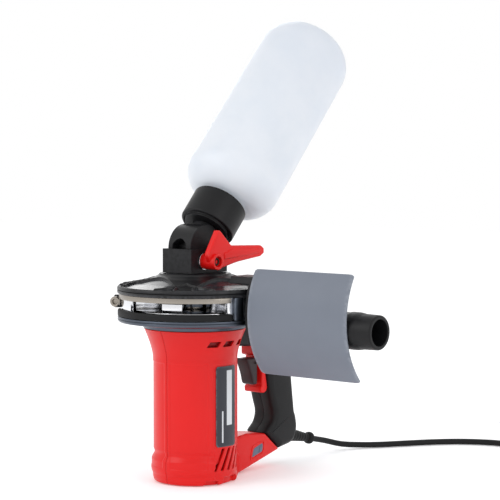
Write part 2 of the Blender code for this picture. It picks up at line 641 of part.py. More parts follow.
def make_chamber():
    low, high = FLANGE_TOP + GAP, CHAMBER_TOP
    liner = sector("chamber_liner", CHAMBER_R, CHAMBER_R + LINER_WALL, low, high, MOUTH_TO,
        360 + MOUTH_FROM, POLISHED)
    join(liner, sector("mouth_header", CHAMBER_R, COVER_R - 0.0014, HEADER_LOW, high, LIP_FROM + 2, LIP_TO - 0.5, step=5))
    cut(liner, dust_port("liner_port"))
    outer = CHAMBER_R + LINER_WALL + GAP
    sector("mouth_lip", outer, COVER_R - 0.0004, low, LIP_TOP, LIP_FROM, LIP_TO, RUBBER, 10)
    sector("clamp_band", outer, outer + BAND_WALL, low, high, BAND_FROM, BAND_TO, BLACK)
    sector("mouth_post", outer, outer + 0.0030, low, high, LIP_TO + 1.5, -9.5, CAST)
    clamp_lug(BOLT_ANGLE)


def clamp_lug(angle):
    """The clamp bolt, its barrel nut and the hook that they draw together, tangent to the chamber."""
    a = radians(angle)
    out, tangent = Vector((cos(a), sin(a), 0)), Vector((-sin(a), cos(a), 0))
    centre = out * BOLT_FROM_AXIS + Vector((0, 0, (FLANGE_TOP + CHAMBER_TOP) / 2 + 0.0019))
    turned("clamp_bolt", [
        (0.0024, 0.0090), (0.0044, 0.0090), (0.0050, 0.0082), (0.0050, 0.0040), (0.0026, 0.0040), (0.0026,
        -0.0150),
        (0, -0.0150), (0, 0.0060), (0.0024, 0.0060),
    ], STEEL, 24, centre, tangent)
    hole_from, hole_r = centre - tangent * 0.03, 0.0026 + GAP
    for name, half_out, half_along, half_up, behind, look in (
        ("clamp_hook", 0.0036, 0.0030, 0.0060, 0.0, BLACK),
        ("clamp_nut", 0.0036, 0.0030, 0.0050, 0.0100, STEEL),
    ):
        half = Vector((half_out, half_along, half_up))
        piece = block(name, -half, half, look, 0.0008)
        piece.location = centre - tangent * behind - out * 0.0016
        piece.rotation_euler = (0, 0, a)
        cut(piece, rod(f"{name}_hole", hole_r, 0.06, hole_from, tangent))


def make_cover():
    """The top cover, open underneath, the bush that the abrasive falls through, and the cage below."""
    bush_hole, top = BUSH_R + GAP, CONE_TOP + 0.0010
    turned("top_cover", [
        (bush_hole, top), (CONE_TOP_R - 0.003, top), (CONE_TOP_R, CONE_TOP), (0.040, 0.1940),
        (0.051, 0.1900), (0.071, COVER_RIM), (COVER_R, COVER_RIM - 0.0025), (COVER_R, COVER_LOW),
        (0.0600, COVER_LOW), (0.0600, COVER_LOW + 0.0035), (0.0480, 0.1860), (0.0380, 0.1885), (0.0240,
        COVER_UNDER),
        (bush_hole, COVER_UNDER),
    ], BLACK, 40)
    turned("feed_bush", [(FEED_R, top), (BUSH_R, top), (BUSH_R, COVER_UNDER), (FEED_R, COVER_UNDER)], CAST,
        24)
    cage_top, cage_low = COVER_UNDER - GAP, DISC_LOW + DISC_THICK + 0.002
    cage = turned("control_cage", [
        (0.0105, cage_top), (CAGE_R, cage_top), (CAGE_R, cage_low), (CAGE_R - 0.002, cage_low),
        (CAGE_R - 0.002, cage_top - 0.002), (0.0105, cage_top - 0.002),
    ], CAST, 32)
    cut(cage, block("cage_window", (-0.006, -0.03, 0.1), (0.006, -0.01,
        DISC_LOW + DISC_THICK + BLADE_TALL)))


def make_wheel():
    """The throwing wheel: a bladed disc, the disc over it, the feed impeller in its eye, and its nut."""
    top = DISC_LOW + DISC_THICK
    wheel = turned("blast_wheel", [
        (SHAFT_R + GAP, top), (WHEEL_R - 0.0012, top), (WHEEL_R, top - 0.0010), (WHEEL_R,
        DISC_LOW + 0.0005), (SHAFT_R + GAP, DISC_LOW + 0.0005),
    ], POLISHED, 48)
    for i in range(BLADES):
        middle = BLADE_FIRST + 360 * i / BLADES
        outline = arc(WHEEL_R - 0.0004, middle - BLADE_ARC / 2, middle + BLADE_ARC / 2, 5)
        outline += arc(EYE_R + 0.003, middle + BLADE_ARC / 2, middle - BLADE_ARC / 2, 10)
        join(wheel, prism(f"wheel_blade_{i}", outline, BLADE_TALL + 0.001, (0, 0,
            top + BLADE_TALL / 2 - 0.0005)))
    low = top + BLADE_TALL + GAP
    turned("wheel_cover_disc", [
        (EYE_R, low + COVER_DISC_THICK), (WHEEL_R - 0.004, low + COVER_DISC_THICK), (WHEEL_R + 0.001,
        low + 0.0015), (WHEEL_R + 0.001, low), (EYE_R, low),
    ], STEEL, 40)
    turned("feed_impeller", [
        (SHAFT_R + GAP, IMPELLER_TOP), (IMPELLER_R, IMPELLER_TOP), (IMPELLER_R, top + GAP), (SHAFT_R + GAP,
        top + GAP),
    ], STEEL, 24)
    nut = rod("wheel_nut", NUT_R, NUT_TALL, (0, 0, IMPELLER_TOP + GAP), look=STEEL, sides=6)
    cut(nut, rod("wheel_nut_hole", SHAFT_R + GAP, LONG, (0, 0, 0), sides=24))


def make_cradle():
    """The block on the cover that holds the drum between its cheeks, with the feed bore under it."""
    cradle = block("cradle_block", (-CRADLE_HALF_X, -CRADLE_HALF_Y, CRADLE_LOW), (CRADLE_HALF_X,
        CRADLE_HALF_Y, PIVOT_Z), BLACK)
    hollow = rod("cradle_seat", DRUM_R + 2 * GAP, 2 * (DRUM_HALF + GAP), (-DRUM_HALF - GAP, 0, PIVOT_Z),
        (1, 0, 0), sides=48)
    cut(cradle, hollow)
    reach = DRUM_HALF + TRUNNION_LONG + GAP
    cut(cradle, rod("cradle_trunnions", TRUNNION_R + GAP, 2 * reach, (-reach, 0, PIVOT_Z), (1, 0, 0)))
    cut(cradle, rod("cradle_feed", FEED_R, 0.06, (0, 0, 0.18)))
    cut(cradle, rod("cradle_clamp_hole", CLAMP_SCREW_R + GAP, 0.03, (DRUM_HALF - 0.002, LEVER_Y, LEVER_Z),
        (1, 0, 0)))


def make_drum():
    lean = Vector((0, sin(radians(LEAN)), cos(radians(LEAN))))
    pivot = Vector((0, 0, PIVOT_Z))
    drum = rod("swivel_drum", DRUM_R, 2 * DRUM_HALF, (-DRUM_HALF, 0, PIVOT_Z), (1, 0, 0), BLACK, 48)
    join(drum, rod("drum_trunnions", TRUNNION_R, 2 * (DRUM_HALF + TRUNNION_LONG),
        (-DRUM_HALF - TRUNNION_LONG, 0, PIVOT_Z), (1, 0, 0)))
    join(drum, rod("drum_neck", DRUM_NECK_R, CAP_NEAR - GAP - 0.010, pivot + lean * 0.010, lean, sides=32))
    cut(drum, rod("drum_bore", FEED_R, 0.06, pivot, lean))
    cut(drum, rod("drum_port", FEED_R, 0.06, pivot + Vector((0, 0.004, 0)), (0, -1, 0)))
    turned("bottle_cap", [
        (FEED_R, CAP_NEAR + CAP_WALL), (NECK_OUT_R + GAP, CAP_NEAR + CAP_WALL), (NECK_OUT_R + GAP,
        CAP_FAR), (CAP_OUT_R - 0.0008, CAP_FAR),
        (CAP_OUT_R, CAP_FAR - 0.0010), (CAP_OUT_R, CAP_NEAR + 0.0025), (CAP_OUT_R - 0.0025,
        CAP_NEAR), (FEED_R, CAP_NEAR),
    ], BLACK, 32, pivot, lean)
    turned("cap_gasket", [
        (FEED_R + 0.0015, NECK_NEAR - GAP), (NECK_OUT_R - 0.0005, NECK_NEAR - GAP), (NECK_OUT_R - 0.0005,
        CAP_NEAR + CAP_WALL + GAP), (FEED_R + 0.0015, CAP_NEAR + CAP_WALL + GAP),
    ], RUBBER, 32, pivot, lean)
    make_bottle(pivot, lean)


def bottle_wall(inner):
    """The bottle's profile from its closed end to its neck, outside, or inside when inner is its wall."""
    wall = BOTTLE_WALL if inner else 0.0
    end = [
        (BOTTLE_R - END_ROUND + (END_ROUND - wall) * sin(radians(a)),
        BOTTLE_END - END_ROUND + (END_ROUND - wall) * cos(radians(a)))
        for a in range(0, 91, 15)
    ]
    shoulder = [
        (BOTTLE_R - SHOULDER_ROUND + (SHOULDER_ROUND - wall) * cos(radians(a)),
        SHOULDER + SHOULDER_ROUND - (SHOULDER_ROUND - wall) * sin(radians(a)))
        for a in range(0, 76, 15)
    ]
    neck_r = NECK_OUT_R - wall
    return [(0, BOTTLE_END - wall), *end, *shoulder, (neck_r, SHOULDER + wall), (neck_r, NECK_NEAR)]


def make_bottle(pivot, lean):
    outside, inside = bottle_wall(False), bottle_wall(True)
    turned("media_bottle", outside + inside[::-1], BOTTLE, 32, pivot, lean, ring=False)


def make_lever():
    """The red clamp lever with its screw and washer."""
    side = CRADLE_HALF_X + GAP
    turned("lever_washer", [
        (CLAMP_SCREW_R + GAP, WASHER_THICK), (WASHER_R, WASHER_THICK), (WASHER_R, 0), (CLAMP_SCREW_R + GAP,
        0),
    ], POLISHED, 24, (side, LEVER_Y, LEVER_Z), (1, 0, 0))
    boss_from = side + WASHER_THICK + GAP
    lever = rod("clamp_lever", BOSS_R, BOSS_END - boss_from, (boss_from, LEVER_Y, LEVER_Z), (1, 0, 0), RED,
        32)
    wing = [(-0.0160, 0.2170), (-0.0110, 0.2060), (0.0000, 0.2035), (0.0080, 0.2075), (0.0640, 0.2140),
        (0.0645, 0.2222),
            (0.0160, 0.2250), (-0.0015, 0.2385), (-0.0040, 0.2385)]
    thick = LEVER_PLATE_TO - LEVER_PLATE_FROM
    join(lever, prism("lever_plate", wing, thick, ((LEVER_PLATE_FROM + LEVER_PLATE_TO) / 2, 0, 0), "YZ"))
    cut(lever, rod("lever_hole", CLAMP_SCREW_R + GAP, 0.05, (0, LEVER_Y, LEVER_Z), (1, 0, 0)))
    cut(lever, rod("lever_socket", SOCKET_R, 0.05, (BOSS_END - SOCKET_DEEP, LEVER_Y, LEVER_Z), (1, 0, 0),
        sides=24))
    head_at = BOSS_END - SOCKET_DEEP + GAP
    screw("clamp_screw", (head_at, LEVER_Y, LEVER_Z), SOCKET_R - 0.0005, 0.0038, CLAMP_SCREW_R,
        head_at - DRUM_HALF - 2 * GAP, (-1, 0, 0))


def make_dust_outlet():
    duct = block("suction_duct", (DUCT_FROM, -DUCT_HALF_Y, DUCT_LOW), (DUCT_TO, DUCT_HALF_Y, DUCT_TOP),
        BLACK)
    join(duct, block("duct_bridge", (BRIDGE_FROM, -BRIDGE_HALF_Y, BRIDGE_LOW), (DUCT_TO - 0.004,
        BRIDGE_HALF_Y, BRIDGE_TOP)))
    join(duct, block("duct_web", (DUCT_FROM, -BRIDGE_HALF_Y, DUCT_TOP - 0.004), (DUCT_TO - 0.004,
        BRIDGE_HALF_Y, BRIDGE_LOW + 0.002)))
    cut(duct, block("duct_hollow", (DUCT_FROM + 0.003, -DUCT_HALF_Y + 0.003, DUCT_LOW + 0.003),
        (DUCT_TO - 0.004, DUCT_HALF_Y - 0.003, DUCT_TOP - 0.003)))
    cut(duct, block("duct_port", (DUCT_FROM - 0.01, -PORT_HALF, PORT_LOW), (DUCT_FROM + 0.01, PORT_HALF,
        PORT_HIGH)))
    cut(duct, rod("duct_outlet", TUBE_BORE_R, 0.03, (DUCT_TO - 0.01, 0, TUBE_Z), (1, 0, 0), sides=32))
    boolean(duct, "INTERSECT", guard_bend("duct_bend"))
    length = TUBE_END - DUCT_TO - GAP
    turned("hose_connector", [
        (TUBE_BORE_R, length), (TUBE_R - 0.0016, length), (TUBE_R - 0.0008,
        length - 0.0010), (TUBE_R - 0.0004, length - 0.016),
        (TUBE_R, length - 0.018), (TUBE_R + 0.0006, length - 0.022), (TUBE_R + 0.0006,
        length - 0.030), (TUBE_R, length - 0.032), (TUBE_R, 0), (TUBE_BORE_R, 0),
    ], BLACK, 28, (DUCT_TO + GAP, 0, TUBE_Z), (1, 0, 0))


def guard_arc(radius):
    """The guard's bend seen from its end, as (Y, Z), at a radius about the guard's centre of curvature."""
    centre = GUARD_FRONT_Y + GUARD_R
    top, low = (degrees(atan2(z - GUARD_MID_Z,
        -sqrt(GUARD_R**2 - (z - GUARD_MID_Z) ** 2))) % 360 for z in (GUARD_TOP, GUARD_LOW))
    return arc(radius, top, low, 5, (centre, GUARD_MID_Z))


def guard_bend(name):
    """The round space behind the guard, which the pieces that the guard covers stay inside."""
    radius = GUARD_R - GUARD_WALL - GAP
    return rod(name, radius, LONG, (0, GUARD_FRONT_Y + GUARD_R, GUARD_MID_Z), (1, 0, 0), sides=72)


def make_guard():
    outline = guard_arc(GUARD_R) + guard_arc(GUARD_R - GUARD_WALL)[::-1]
    prism("guard_sheet", outline, GUARD_TO - GUARD_FROM, ((GUARD_FROM + GUARD_TO) / 2, 0, 0), "YZ", GUARD)
    bracket = block("guard_bracket", (0.1220, -0.0215, 0.1340), (0.1460, 0.0200, 0.1770), BLACK)
    cut(bracket, rod("bracket_bore", TUBE_R + GAP, 0.2, (0.05, 0, TUBE_Z), (1, 0, 0), sides=40))
    boolean(bracket, "INTERSECT", guard_bend("bracket_bend"))


def main():
    start()
    make_casing()
    make_handle()
    make_cord(*make_strain_relief())
    make_motor()
    make_flange()
    make_chamber()
    make_cover()
    make_wheel()
    make_cradle()
    make_drum()
    make_lever()
    make_dust_outlet()
    make_guard()


main()
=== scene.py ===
import json
from math import cos, pi, radians, sin

import bmesh
import bpy
import numpy as np
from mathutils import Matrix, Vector


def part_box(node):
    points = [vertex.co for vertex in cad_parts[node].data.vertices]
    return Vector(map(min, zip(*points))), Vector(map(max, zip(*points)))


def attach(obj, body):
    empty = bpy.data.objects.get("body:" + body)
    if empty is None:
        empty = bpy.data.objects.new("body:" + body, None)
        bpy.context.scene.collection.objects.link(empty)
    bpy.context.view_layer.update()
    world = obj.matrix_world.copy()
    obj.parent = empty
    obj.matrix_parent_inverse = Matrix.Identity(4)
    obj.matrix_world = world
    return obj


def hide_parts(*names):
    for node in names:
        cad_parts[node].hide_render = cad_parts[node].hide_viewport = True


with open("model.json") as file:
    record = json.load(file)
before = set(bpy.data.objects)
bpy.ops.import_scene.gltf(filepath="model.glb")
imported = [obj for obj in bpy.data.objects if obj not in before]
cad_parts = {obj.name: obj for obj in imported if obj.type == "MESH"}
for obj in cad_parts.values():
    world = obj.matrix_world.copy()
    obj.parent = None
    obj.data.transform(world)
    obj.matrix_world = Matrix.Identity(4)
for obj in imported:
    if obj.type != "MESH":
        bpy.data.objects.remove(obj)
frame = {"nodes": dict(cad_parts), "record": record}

bl_info = {
    "name": "Wheel blaster looks",
    "version": (1, 0, 0),
    "blender": (4, 5, 0),
    "location": "3D View > Sidebar > Blaster",
    "description": "Detailed surfaces and finishes for a hand-held electric wheel blaster",
    "category": "Object",
}

# Metres, as in the frame: the origin is the centre of the base, +X the dust outlet, +Y the handle, +Z up.
GAP = 0.0003
ALL_ROUND = 360
BODY_FOOT, BODY_TOP, BODY_STRAIGHT = 0.0083, 0.1457, 0.118
BODY_R, FLARE_R, BODY_WALL = 0.0400, 0.0485, 0.0025
LINER_R, LINER_WALL = 0.0655, 0.0040
PIVOT = np.array((0.0, 0.0, 0.2210))
LEAN = 42
COIL_CENTRE, COIL_R = (0.160, 0.395), 0.0367


# ------------------------------------------------------------------ shapes


def outline(points):
    """A closed outline as an array that runs anticlockwise."""
    made = np.asarray(points, float)
    nxt = np.roll(made, -1, axis=0)
    area = (made[:, 0] * nxt[:, 1] - nxt[:, 0] * made[:, 1]).sum()
    return made if area > 0 else made[::-1]


def corner_curves(corner, radius, steps):
    """Each corner gives way to a curve: with a and b this far back along its two sides and c the corner
    itself, the curve is (1 - t)^2 a + 2 t (1 - t) c + t^2 b for t from 0 to 1."""
    before, after = np.roll(corner, 1, axis=0) - corner, np.roll(corner, -1, axis=0) - corner
    long_before, long_after = (np.linalg.norm(v, axis=1, keepdims=True) for v in (before, after))
    wanted = np.broadcast_to(np.reshape(radius, (-1, 1)), (len(corner), 1))
    back = np.minimum(wanted, 0.48 * np.minimum(long_before, long_after))
    a, b = corner + before / long_before * back, corner + after / long_after * back
    t = np.linspace(0, 1, steps + 1)[None, :, None]
    return (1 - t) ** 2 * a[:, None] + 2 * t * (1 - t) * corner[:, None] + t**2 * b[:, None]


def rounded(points, radius, steps=5):
    """A closed outline with its corners rounded, run anticlockwise."""
    return corner_curves(outline(points), radius, steps).reshape(-1, 2)


def eased_line(points, radius, steps=4):
    """An open line with its inner corners rounded."""
    line = np.asarray(points, float)
    return np.concatenate([line[:1], corner_curves(line, radius, steps)[1:-1].reshape(-1, 2), line[-1:]])


def drawn_in(points, distance):
    """The outline moved inwards: each point goes along the mean of its two sides' inward normals,
    stretched by one over the cosine of half the turn there."""
    side = np.roll(points, -1, axis=0) - points
    normal = np.stack([-side[:, 1], side[:, 0]], axis=1) / np.maximum(np.linalg.norm(side, axis=1), 1e-9)[:,
            None]
    mean = normal + np.roll(normal, 1, axis=0)
    mean /= np.maximum(np.linalg.norm(mean, axis=1), 1e-9)[:, None]
    stretch = np.maximum((mean * normal).sum(axis=1), 0.5)[:, None]
    return points + mean * distance / stretch


def carried(corners, radius, low, high, rims, place, between=2, steps=4, curve=5):
    """An outline carried from one level to another. Within a rim's width of an end it draws in by a
    quarter circle: at angle a it is drawn in by rim (1 - sin a) and stands rim (1 - cos a) from the end.
    Its corners draw in first and are rounded afterwards, by a radius that shrinks as they do. place turns
    (u, v, level) into a point."""
    a = np.linspace(0, pi / 2, steps + 1)
    first, last = rims
    middle = np.linspace(low + first, high - last, between)[1:-1]
    levels = np.concatenate([low + first * (1 - np.cos(a)), middle, (high - last * (1 - np.cos(a)))[::-1]])
    draws = np.concatenate([first * (1 - np.sin(a)), 0 * middle, (last * (1 - np.sin(a)))[::-1]])
    radius = np.broadcast_to(radius, len(corners)).astype(float)
    rows = np.stack([corner_curves(drawn_in(corners, draw), np.maximum(radius - draw, 0.12 * radius), curve)
                     .reshape(-1, 2) for draw in draws])
    level = np.broadcast_to(levels[:, None], rows.shape[:2])
    return {"grid": place(rows[..., 0], rows[..., 1], level), "wrap": (False, True), "caps": "rows"}


def by_x(u, v, level):
    return np.stack([level, u, v], axis=-1)


def by_y(u, v, level):
    return np.stack([u, level, v], axis=-1)


def by_z(u, v, level):
    return np.stack([u, v, level], axis=-1)


def slab(points, low, high, rims, radius=0.0, place=by_x, **more):
    """A flat outline with rounded corners, given a thickness and rounded rims."""
    corners = outline(points)
    if corners is not points and np.ndim(radius) and not np.allclose(corners[0], points[0]):
        radius = np.asarray(radius)[::-1]
    return carried(corners, radius, low, high, rims, place, **more)


def box(low, high, radius, rim=None):
    """A block with rounded upright edges and rounded rims."""
    (x0, y0, z0), (x1, y1, z1) = low, high
    rim = radius if rim is None else rim
    return slab([(x0, y0), (x1, y0), (x1, y1), (x0, y1)], z0, z1, (rim, rim), radius, by_z)


def bent(points, start, end, rim, radius=0.0003):
    """An upright section of (radius, height) points carried round the motor's axis between two angles in
    degrees."""
    corners = outline(points)
    mean = corners[:, 0].mean()

    def place(r, z, along):
        return np.stack([r * np.cos(along / mean), r * np.sin(along / mean), z], axis=-1)

    count = max(3, round(abs(end - start) / 2.5))
    return carried(corners, radius, radians(start) * mean, radians(end) * mean, (rim, rim), place, count,
                   curve=3)


def lathe(profile, sides=96, ring=False, wave=None):
    """A profile of (radius, height) carried round an axis: x is r cos a, y is r sin a, z is the height.
    ring joins the profile's last point to its first. wave moves the points afterwards, as a function of
    the grid."""
    r, z = np.asarray(profile, float).T
    a = np.linspace(0, 2 * pi, sides, endpoint=False)
    grid = np.stack([np.outer(r, np.cos(a)), np.outer(r, np.sin(a)), np.repeat(z[:, None], sides, axis=1)],
                    axis=-1)
    return {"grid": grid if wave is None else wave(grid), "wrap": (ring, True), "caps": None}


def turned(profile, radius=0.0004, sides=96, ring=True, steps=3, **more):
    """A solid of revolution whose profile has its corners rounded. Without ring, its ends lie on the
    axis."""
    line = rounded(profile, radius, steps) if ring else eased_line(profile, radius, steps)
    return lathe(line, sides, ring, **more)


def placed(part, at, axis):
    """A part turned so that its +Z lies along an axis, then moved."""
    turn = np.array(Vector((0, 0, 1)).rotation_difference(Vector(axis)).to_matrix())
    return {**part, "grid": part["grid"] @ turn.T + np.asarray(at, float)}


def tube(path, radius, sides=14, section=None):
    """A round section carried along a path that never stands upright. Across it lie s, the level normal
    of the path, and n, which is s crossed with the path's direction: each point is p + r (s cos a + n sin
    a)."""
    path = np.asarray(path, float)
    direction = np.gradient(path, axis=0)
    direction /= np.linalg.norm(direction, axis=1, keepdims=True)
    across = np.cross(direction, (0, 0, 1))
    across /= np.linalg.norm(across, axis=1, keepdims=True)
    up = np.cross(across, direction)
    a = np.linspace(0, 2 * pi, sides, endpoint=False)
    r = np.broadcast_to(np.reshape(radius, (-1, 1)), (len(path), 1))[..., None]
    grid = path[:, None] + r * (across[:, None] * np.cos(a)[None, :, None] + up[:, None] * np.sin(a)[None, :,
            None])
    return {"grid": grid, "wrap": (False, True), "caps": "rows"}


def faces_of(part, first):
    """The grid's four-sided faces, and its end caps, numbered from a first vertex."""
    rows, cols = part["grid"].shape[:2]
    wrap_rows, wrap_cols = part["wrap"]
    i, j = np.meshgrid(np.arange(rows - (not wrap_rows)), np.arange(cols - (not wrap_cols)), indexing="ij")
    below, right = (i + 1) % rows, (j + 1) % cols
    quads = np.stack([i * cols + j, i * cols + right, below * cols + right, below * cols + j],
                     axis=-1).reshape(-1, 4)
    caps = []
    if part["caps"] == "rows":
        caps = [list(range(cols))[::-1], list(range((rows - 1) * cols, rows * cols))]
    elif part["caps"] == "cols":
        caps = [list(range(0, rows * cols, cols)), list(range(cols - 1, rows * cols, cols))[::-1]]
    return (quads + first).tolist() + [[first + k for k in cap] for cap in caps]


def mesh_from(name, parts, marks=None):
    """One mesh of several closed grids, with doubled points merged and every face turned outwards."""
    points, faces = [], []
    for part in parts:
        faces += faces_of(part, sum(len(p) for p in points))
        points.append(part["grid"].reshape(-1, 3))
    mesh = bpy.data.meshes.new(name)
    mesh.from_pydata(np.concatenate(points), [], faces)
    for mark, values in (marks or {}).items():
        layer = mesh.attributes.new(mark, "FLOAT", "POINT")
        layer.data.foreach_set("value", np.asarray(values, np.float32).ravel())
    shape = bmesh.new()
    shape.from_mesh(mesh)
    bmesh.ops.remove_doubles(shape, verts=shape.verts, dist=2e-6)
    bmesh.ops.dissolve_degenerate(shape, edges=shape.edges, dist=1e-7)
    bmesh.ops.recalc_face_normals(shape, faces=shape.faces)
    shape.to_mesh(mesh)
    shape.free()
    return mesh


def shown(obj, body, look, slot, nodes, angle=38):
    """A finished piece: smooth between its sharp edges, riding its body and standing for its CAD nodes."""
    obj.data.materials.clear()
    obj.data.materials.append(look)
    if obj.type == "MESH":
        obj.data.shade_smooth()
        obj.data.set_sharp_from_angle(angle=radians(angle))
    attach(obj, body)
    if nodes:
        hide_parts(*nodes)
    return obj


def piece(name, parts, body, slot, nodes=(), look=None, marks=None, angle=38):
    obj = bpy.data.objects.new(name, mesh_from(name, parts, marks))
    bpy.context.scene.collection.objects.link(obj)
    return shown(obj, body, look or finish(slot), slot, nodes, angle)


def eased(node, body, slot, width=0.0005, look=None):
    """A copy of a CAD node with its doubled points merged, its flat faces made whole and its edges
    eased."""
    mesh = frame["nodes"][node].data.copy()
    mesh.name = f"{node}_eased"
    shape = bmesh.new()
    shape.from_mesh(mesh)
    bmesh.ops.remove_doubles(shape, verts=shape.verts, dist=1e-6)
    bmesh.ops.dissolve_limit(shape, angle_limit=radians(0.8), verts=shape.verts, edges=shape.edges)
    shape.to_mesh(mesh)
    shape.free()
    obj = bpy.data.objects.new(f"{node}_eased", mesh)
    bpy.context.scene.collection.objects.link(obj)
    edge = obj.modifiers.new("eased_edges", "BEVEL")
    edge.width, edge.segments, edge.limit_method, edge.angle_limit = width, 2, "ANGLE", radians(40)
    edge.harden_normals = False
    return shown(obj, body, look or finish(slot), slot, [node], 40)


# ---------------------------------------------------------------- finishes


def tone(red, green, blue):
    """A colour of 0 to 255 as the linear numbers that a shader takes."""
    share = np.array((red, green, blue)) / 255
    linear = np.where(share <= 0.04045, share / 12.92, ((share + 0.055) / 1.055) ** 2.4)
    return (*linear.tolist(), 1.0)


class Tree:
    """A material's or a group's nodes, with short calls that add a node and join it up."""

    def __init__(self, tree):
        self.tree = tree

    def add(self, kind, inputs=None, **settings):
        node = self.tree.nodes.new(kind)
        for key, value in settings.items():
            setattr(node, key, value)
        for key, value in (inputs or {}).items():
            self.feed(node.inputs[key], value)
        return node

    def feed(self, socket, value):
        if isinstance(value, bpy.types.NodeSocket):
            self.tree.links.new(value, socket)
        else:
            socket.default_value = value

    def maths(self, operation, a, b=0.0, clamp=False):
        node = self.add("ShaderNodeMath", {0: a, 1: b}, operation=operation, use_clamp=clamp)
        return node.outputs[0]

    def blend(self, share, a, b):
        node = self.add("ShaderNodeMix", data_type="RGBA")
        for index, value in ((0, share), (6, a), (7, b)):
            self.feed(node.inputs[index], value)
        return node.outputs[2]

    def ramp(self, value, low, high):
        """0 up to low and 1 from high on, with a smooth step between."""
        node = self.add("ShaderNodeMapRange", {0: value, 1: low, 2: high}, interpolation_type="SMOOTHSTEP")
        return node.outputs[0]

    def noise(self, vector, scale, detail=3.0, rough=0.55, **settings):
        node = self.add("ShaderNodeTexNoise", {"Scale": scale, "Detail": detail, "Roughness": rough},
                        **settings)
        if "Vector" in node.inputs and node.inputs["Vector"].enabled:
            self.feed(node.inputs["Vector"], vector)
        return node.outputs["Fac"]


def group(name, inputs, outputs):
    """A new shader group with named sockets: its tree, its inputs and its output node."""
    made = bpy.data.node_groups.new(name, "ShaderNodeTree")
    for kind, rows in (("INPUT", inputs), ("OUTPUT", outputs)):
        for label, socket, start in rows:
            item = made.interface.new_socket(name=label, in_out=kind, socket_type=socket)
            if start is not None:
                item.default_value = start
    tree = Tree(made)
    return made, tree, tree.add("NodeGroupInput").outputs, tree.add("NodeGroupOutput").inputs


FLOAT, COLOUR, VECTOR = "NodeSocketFloat", "NodeSocketColor", "NodeSocketVector"


def wear_and_shade_group():
    """What use does to a surface, with painted shade: edges rubbed to another colour, a faint mottle,
    painted shade darkening the hollows, uneven gloss."""
    made, tree, given, out = group(
        "wear_and_hollow_shade",
        [("Place", VECTOR, None), ("Colour", COLOUR, None), ("Edge Colour", COLOUR, None),
         ("Edge", FLOAT, 0.5), ("Wear", FLOAT, 0.4), ("Mottle", FLOAT, 0.05), ("Gloss", FLOAT, 0.4),
         ("Uneven", FLOAT, 0.08)],
        [("Colour", COLOUR, None), ("Roughness", FLOAT, None)],
    )
    broad = tree.noise(given["Place"], 28.0, 4.0)
    fine = tree.noise(given["Place"], 240.0, 3.0)
    rubbed = tree.maths("MULTIPLY", tree.ramp(given["Edge"], 0.515, 0.60), tree.ramp(fine, 0.30, 0.62))
    rubbed = tree.maths("MULTIPLY", rubbed, given["Wear"])
    # Painted shade: where pointiness is low, in concave hollows and creases, the colour is darkened.
    painted_hollow_shade = tree.maths("MULTIPLY", tree.ramp(given["Edge"], 0.49, 0.40), 0.45)
    darker = tree.add("ShaderNodeHueSaturation", {"Value": 0.78, "Color": given["Colour"]}).outputs[0]
    cloudy = tree.maths("MULTIPLY", tree.ramp(broad, 0.35, 0.70), given["Mottle"])
    base = tree.blend(tree.maths("ADD", cloudy, painted_hollow_shade, True), given["Colour"], darker)
    tree.feed(out["Colour"], tree.blend(rubbed, base, given["Edge Colour"]))
    swing = tree.maths("MULTIPLY", tree.maths("SUBTRACT", tree.noise(given["Place"], 55.0, 5.0), 0.5),
                       given["Uneven"])
    swing = tree.maths("MULTIPLY", swing, 2.0)
    tree.feed(out["Roughness"], tree.maths("ADD", tree.maths("ADD", given["Gloss"], swing), 0.0, True))
    return made


def grain_group():
    """The height of a moulded or cast skin: small cells with a finer noise over them."""
    made, tree, given, out = group(
        "moulded_grain",
        [("Place", VECTOR, None), ("Cells", FLOAT, 1400.0), ("Depth", FLOAT, 1.0)],
        [("Height", FLOAT, None)],
    )
    cells = tree.add("ShaderNodeTexVoronoi", {"Vector": given["Place"], "Scale": given["Cells"]},
                     feature="SMOOTH_F1")
    fine = tree.add("ShaderNodeTexNoise", {"Vector": given["Place"], "Scale": given["Cells"], "Detail": 2.0})
    height = tree.maths("ADD", cells.outputs["Distance"], tree.maths("MULTIPLY", fine.outputs["Fac"], 0.6))
    tree.feed(out["Height"], tree.maths("MULTIPLY", height, given["Depth"]))
    return made


def lathe_group():
    """Tool marks of a lathe: fine rings that follow the distance from an axis and the height along it."""
    made, tree, given, out = group(
        "lathe_marks",
        [("Place", VECTOR, None), ("Fine", FLOAT, 2200.0)],
        [("Height", FLOAT, None), ("Share", FLOAT, None)],
    )
    flat = tree.add("ShaderNodeVectorMath", {0: given["Place"], 1: (1, 1, 0)},
                    operation="MULTIPLY").outputs[0]
    radius = tree.add("ShaderNodeVectorMath", {0: flat}, operation="LENGTH").outputs["Value"]
    height = tree.add("ShaderNodeSeparateXYZ", {0: given["Place"]}).outputs[2]
    along = tree.maths("ADD", radius, tree.maths("MULTIPLY", height, 1.7))
    rings = tree.add("ShaderNodeTexNoise", {"W": along, "Scale": given["Fine"], "Detail": 3.0},
                     noise_dimensions="1D")
    tree.feed(out["Height"], rings.outputs["Fac"])
    tree.feed(out["Share"], tree.ramp(rings.outputs["Fac"], 0.40, 0.62))
    return made


def shared(maker, name):
    return bpy.data.node_groups.get(name) or maker()


def start_material(name):
    """A new material: its tree, its Principled shader, the place on the piece and how sharp the edge is
    there."""
    made = bpy.data.materials.new(name)
    made.use_nodes = True
    tree = Tree(made.node_tree)
    surface = made.node_tree.nodes["Principled BSDF"]
    place = tree.add("ShaderNodeTexCoord").outputs["Object"]
    edge = tree.add("ShaderNodeNewGeometry").outputs["Pointiness"]
    return made, tree, surface, place, edge


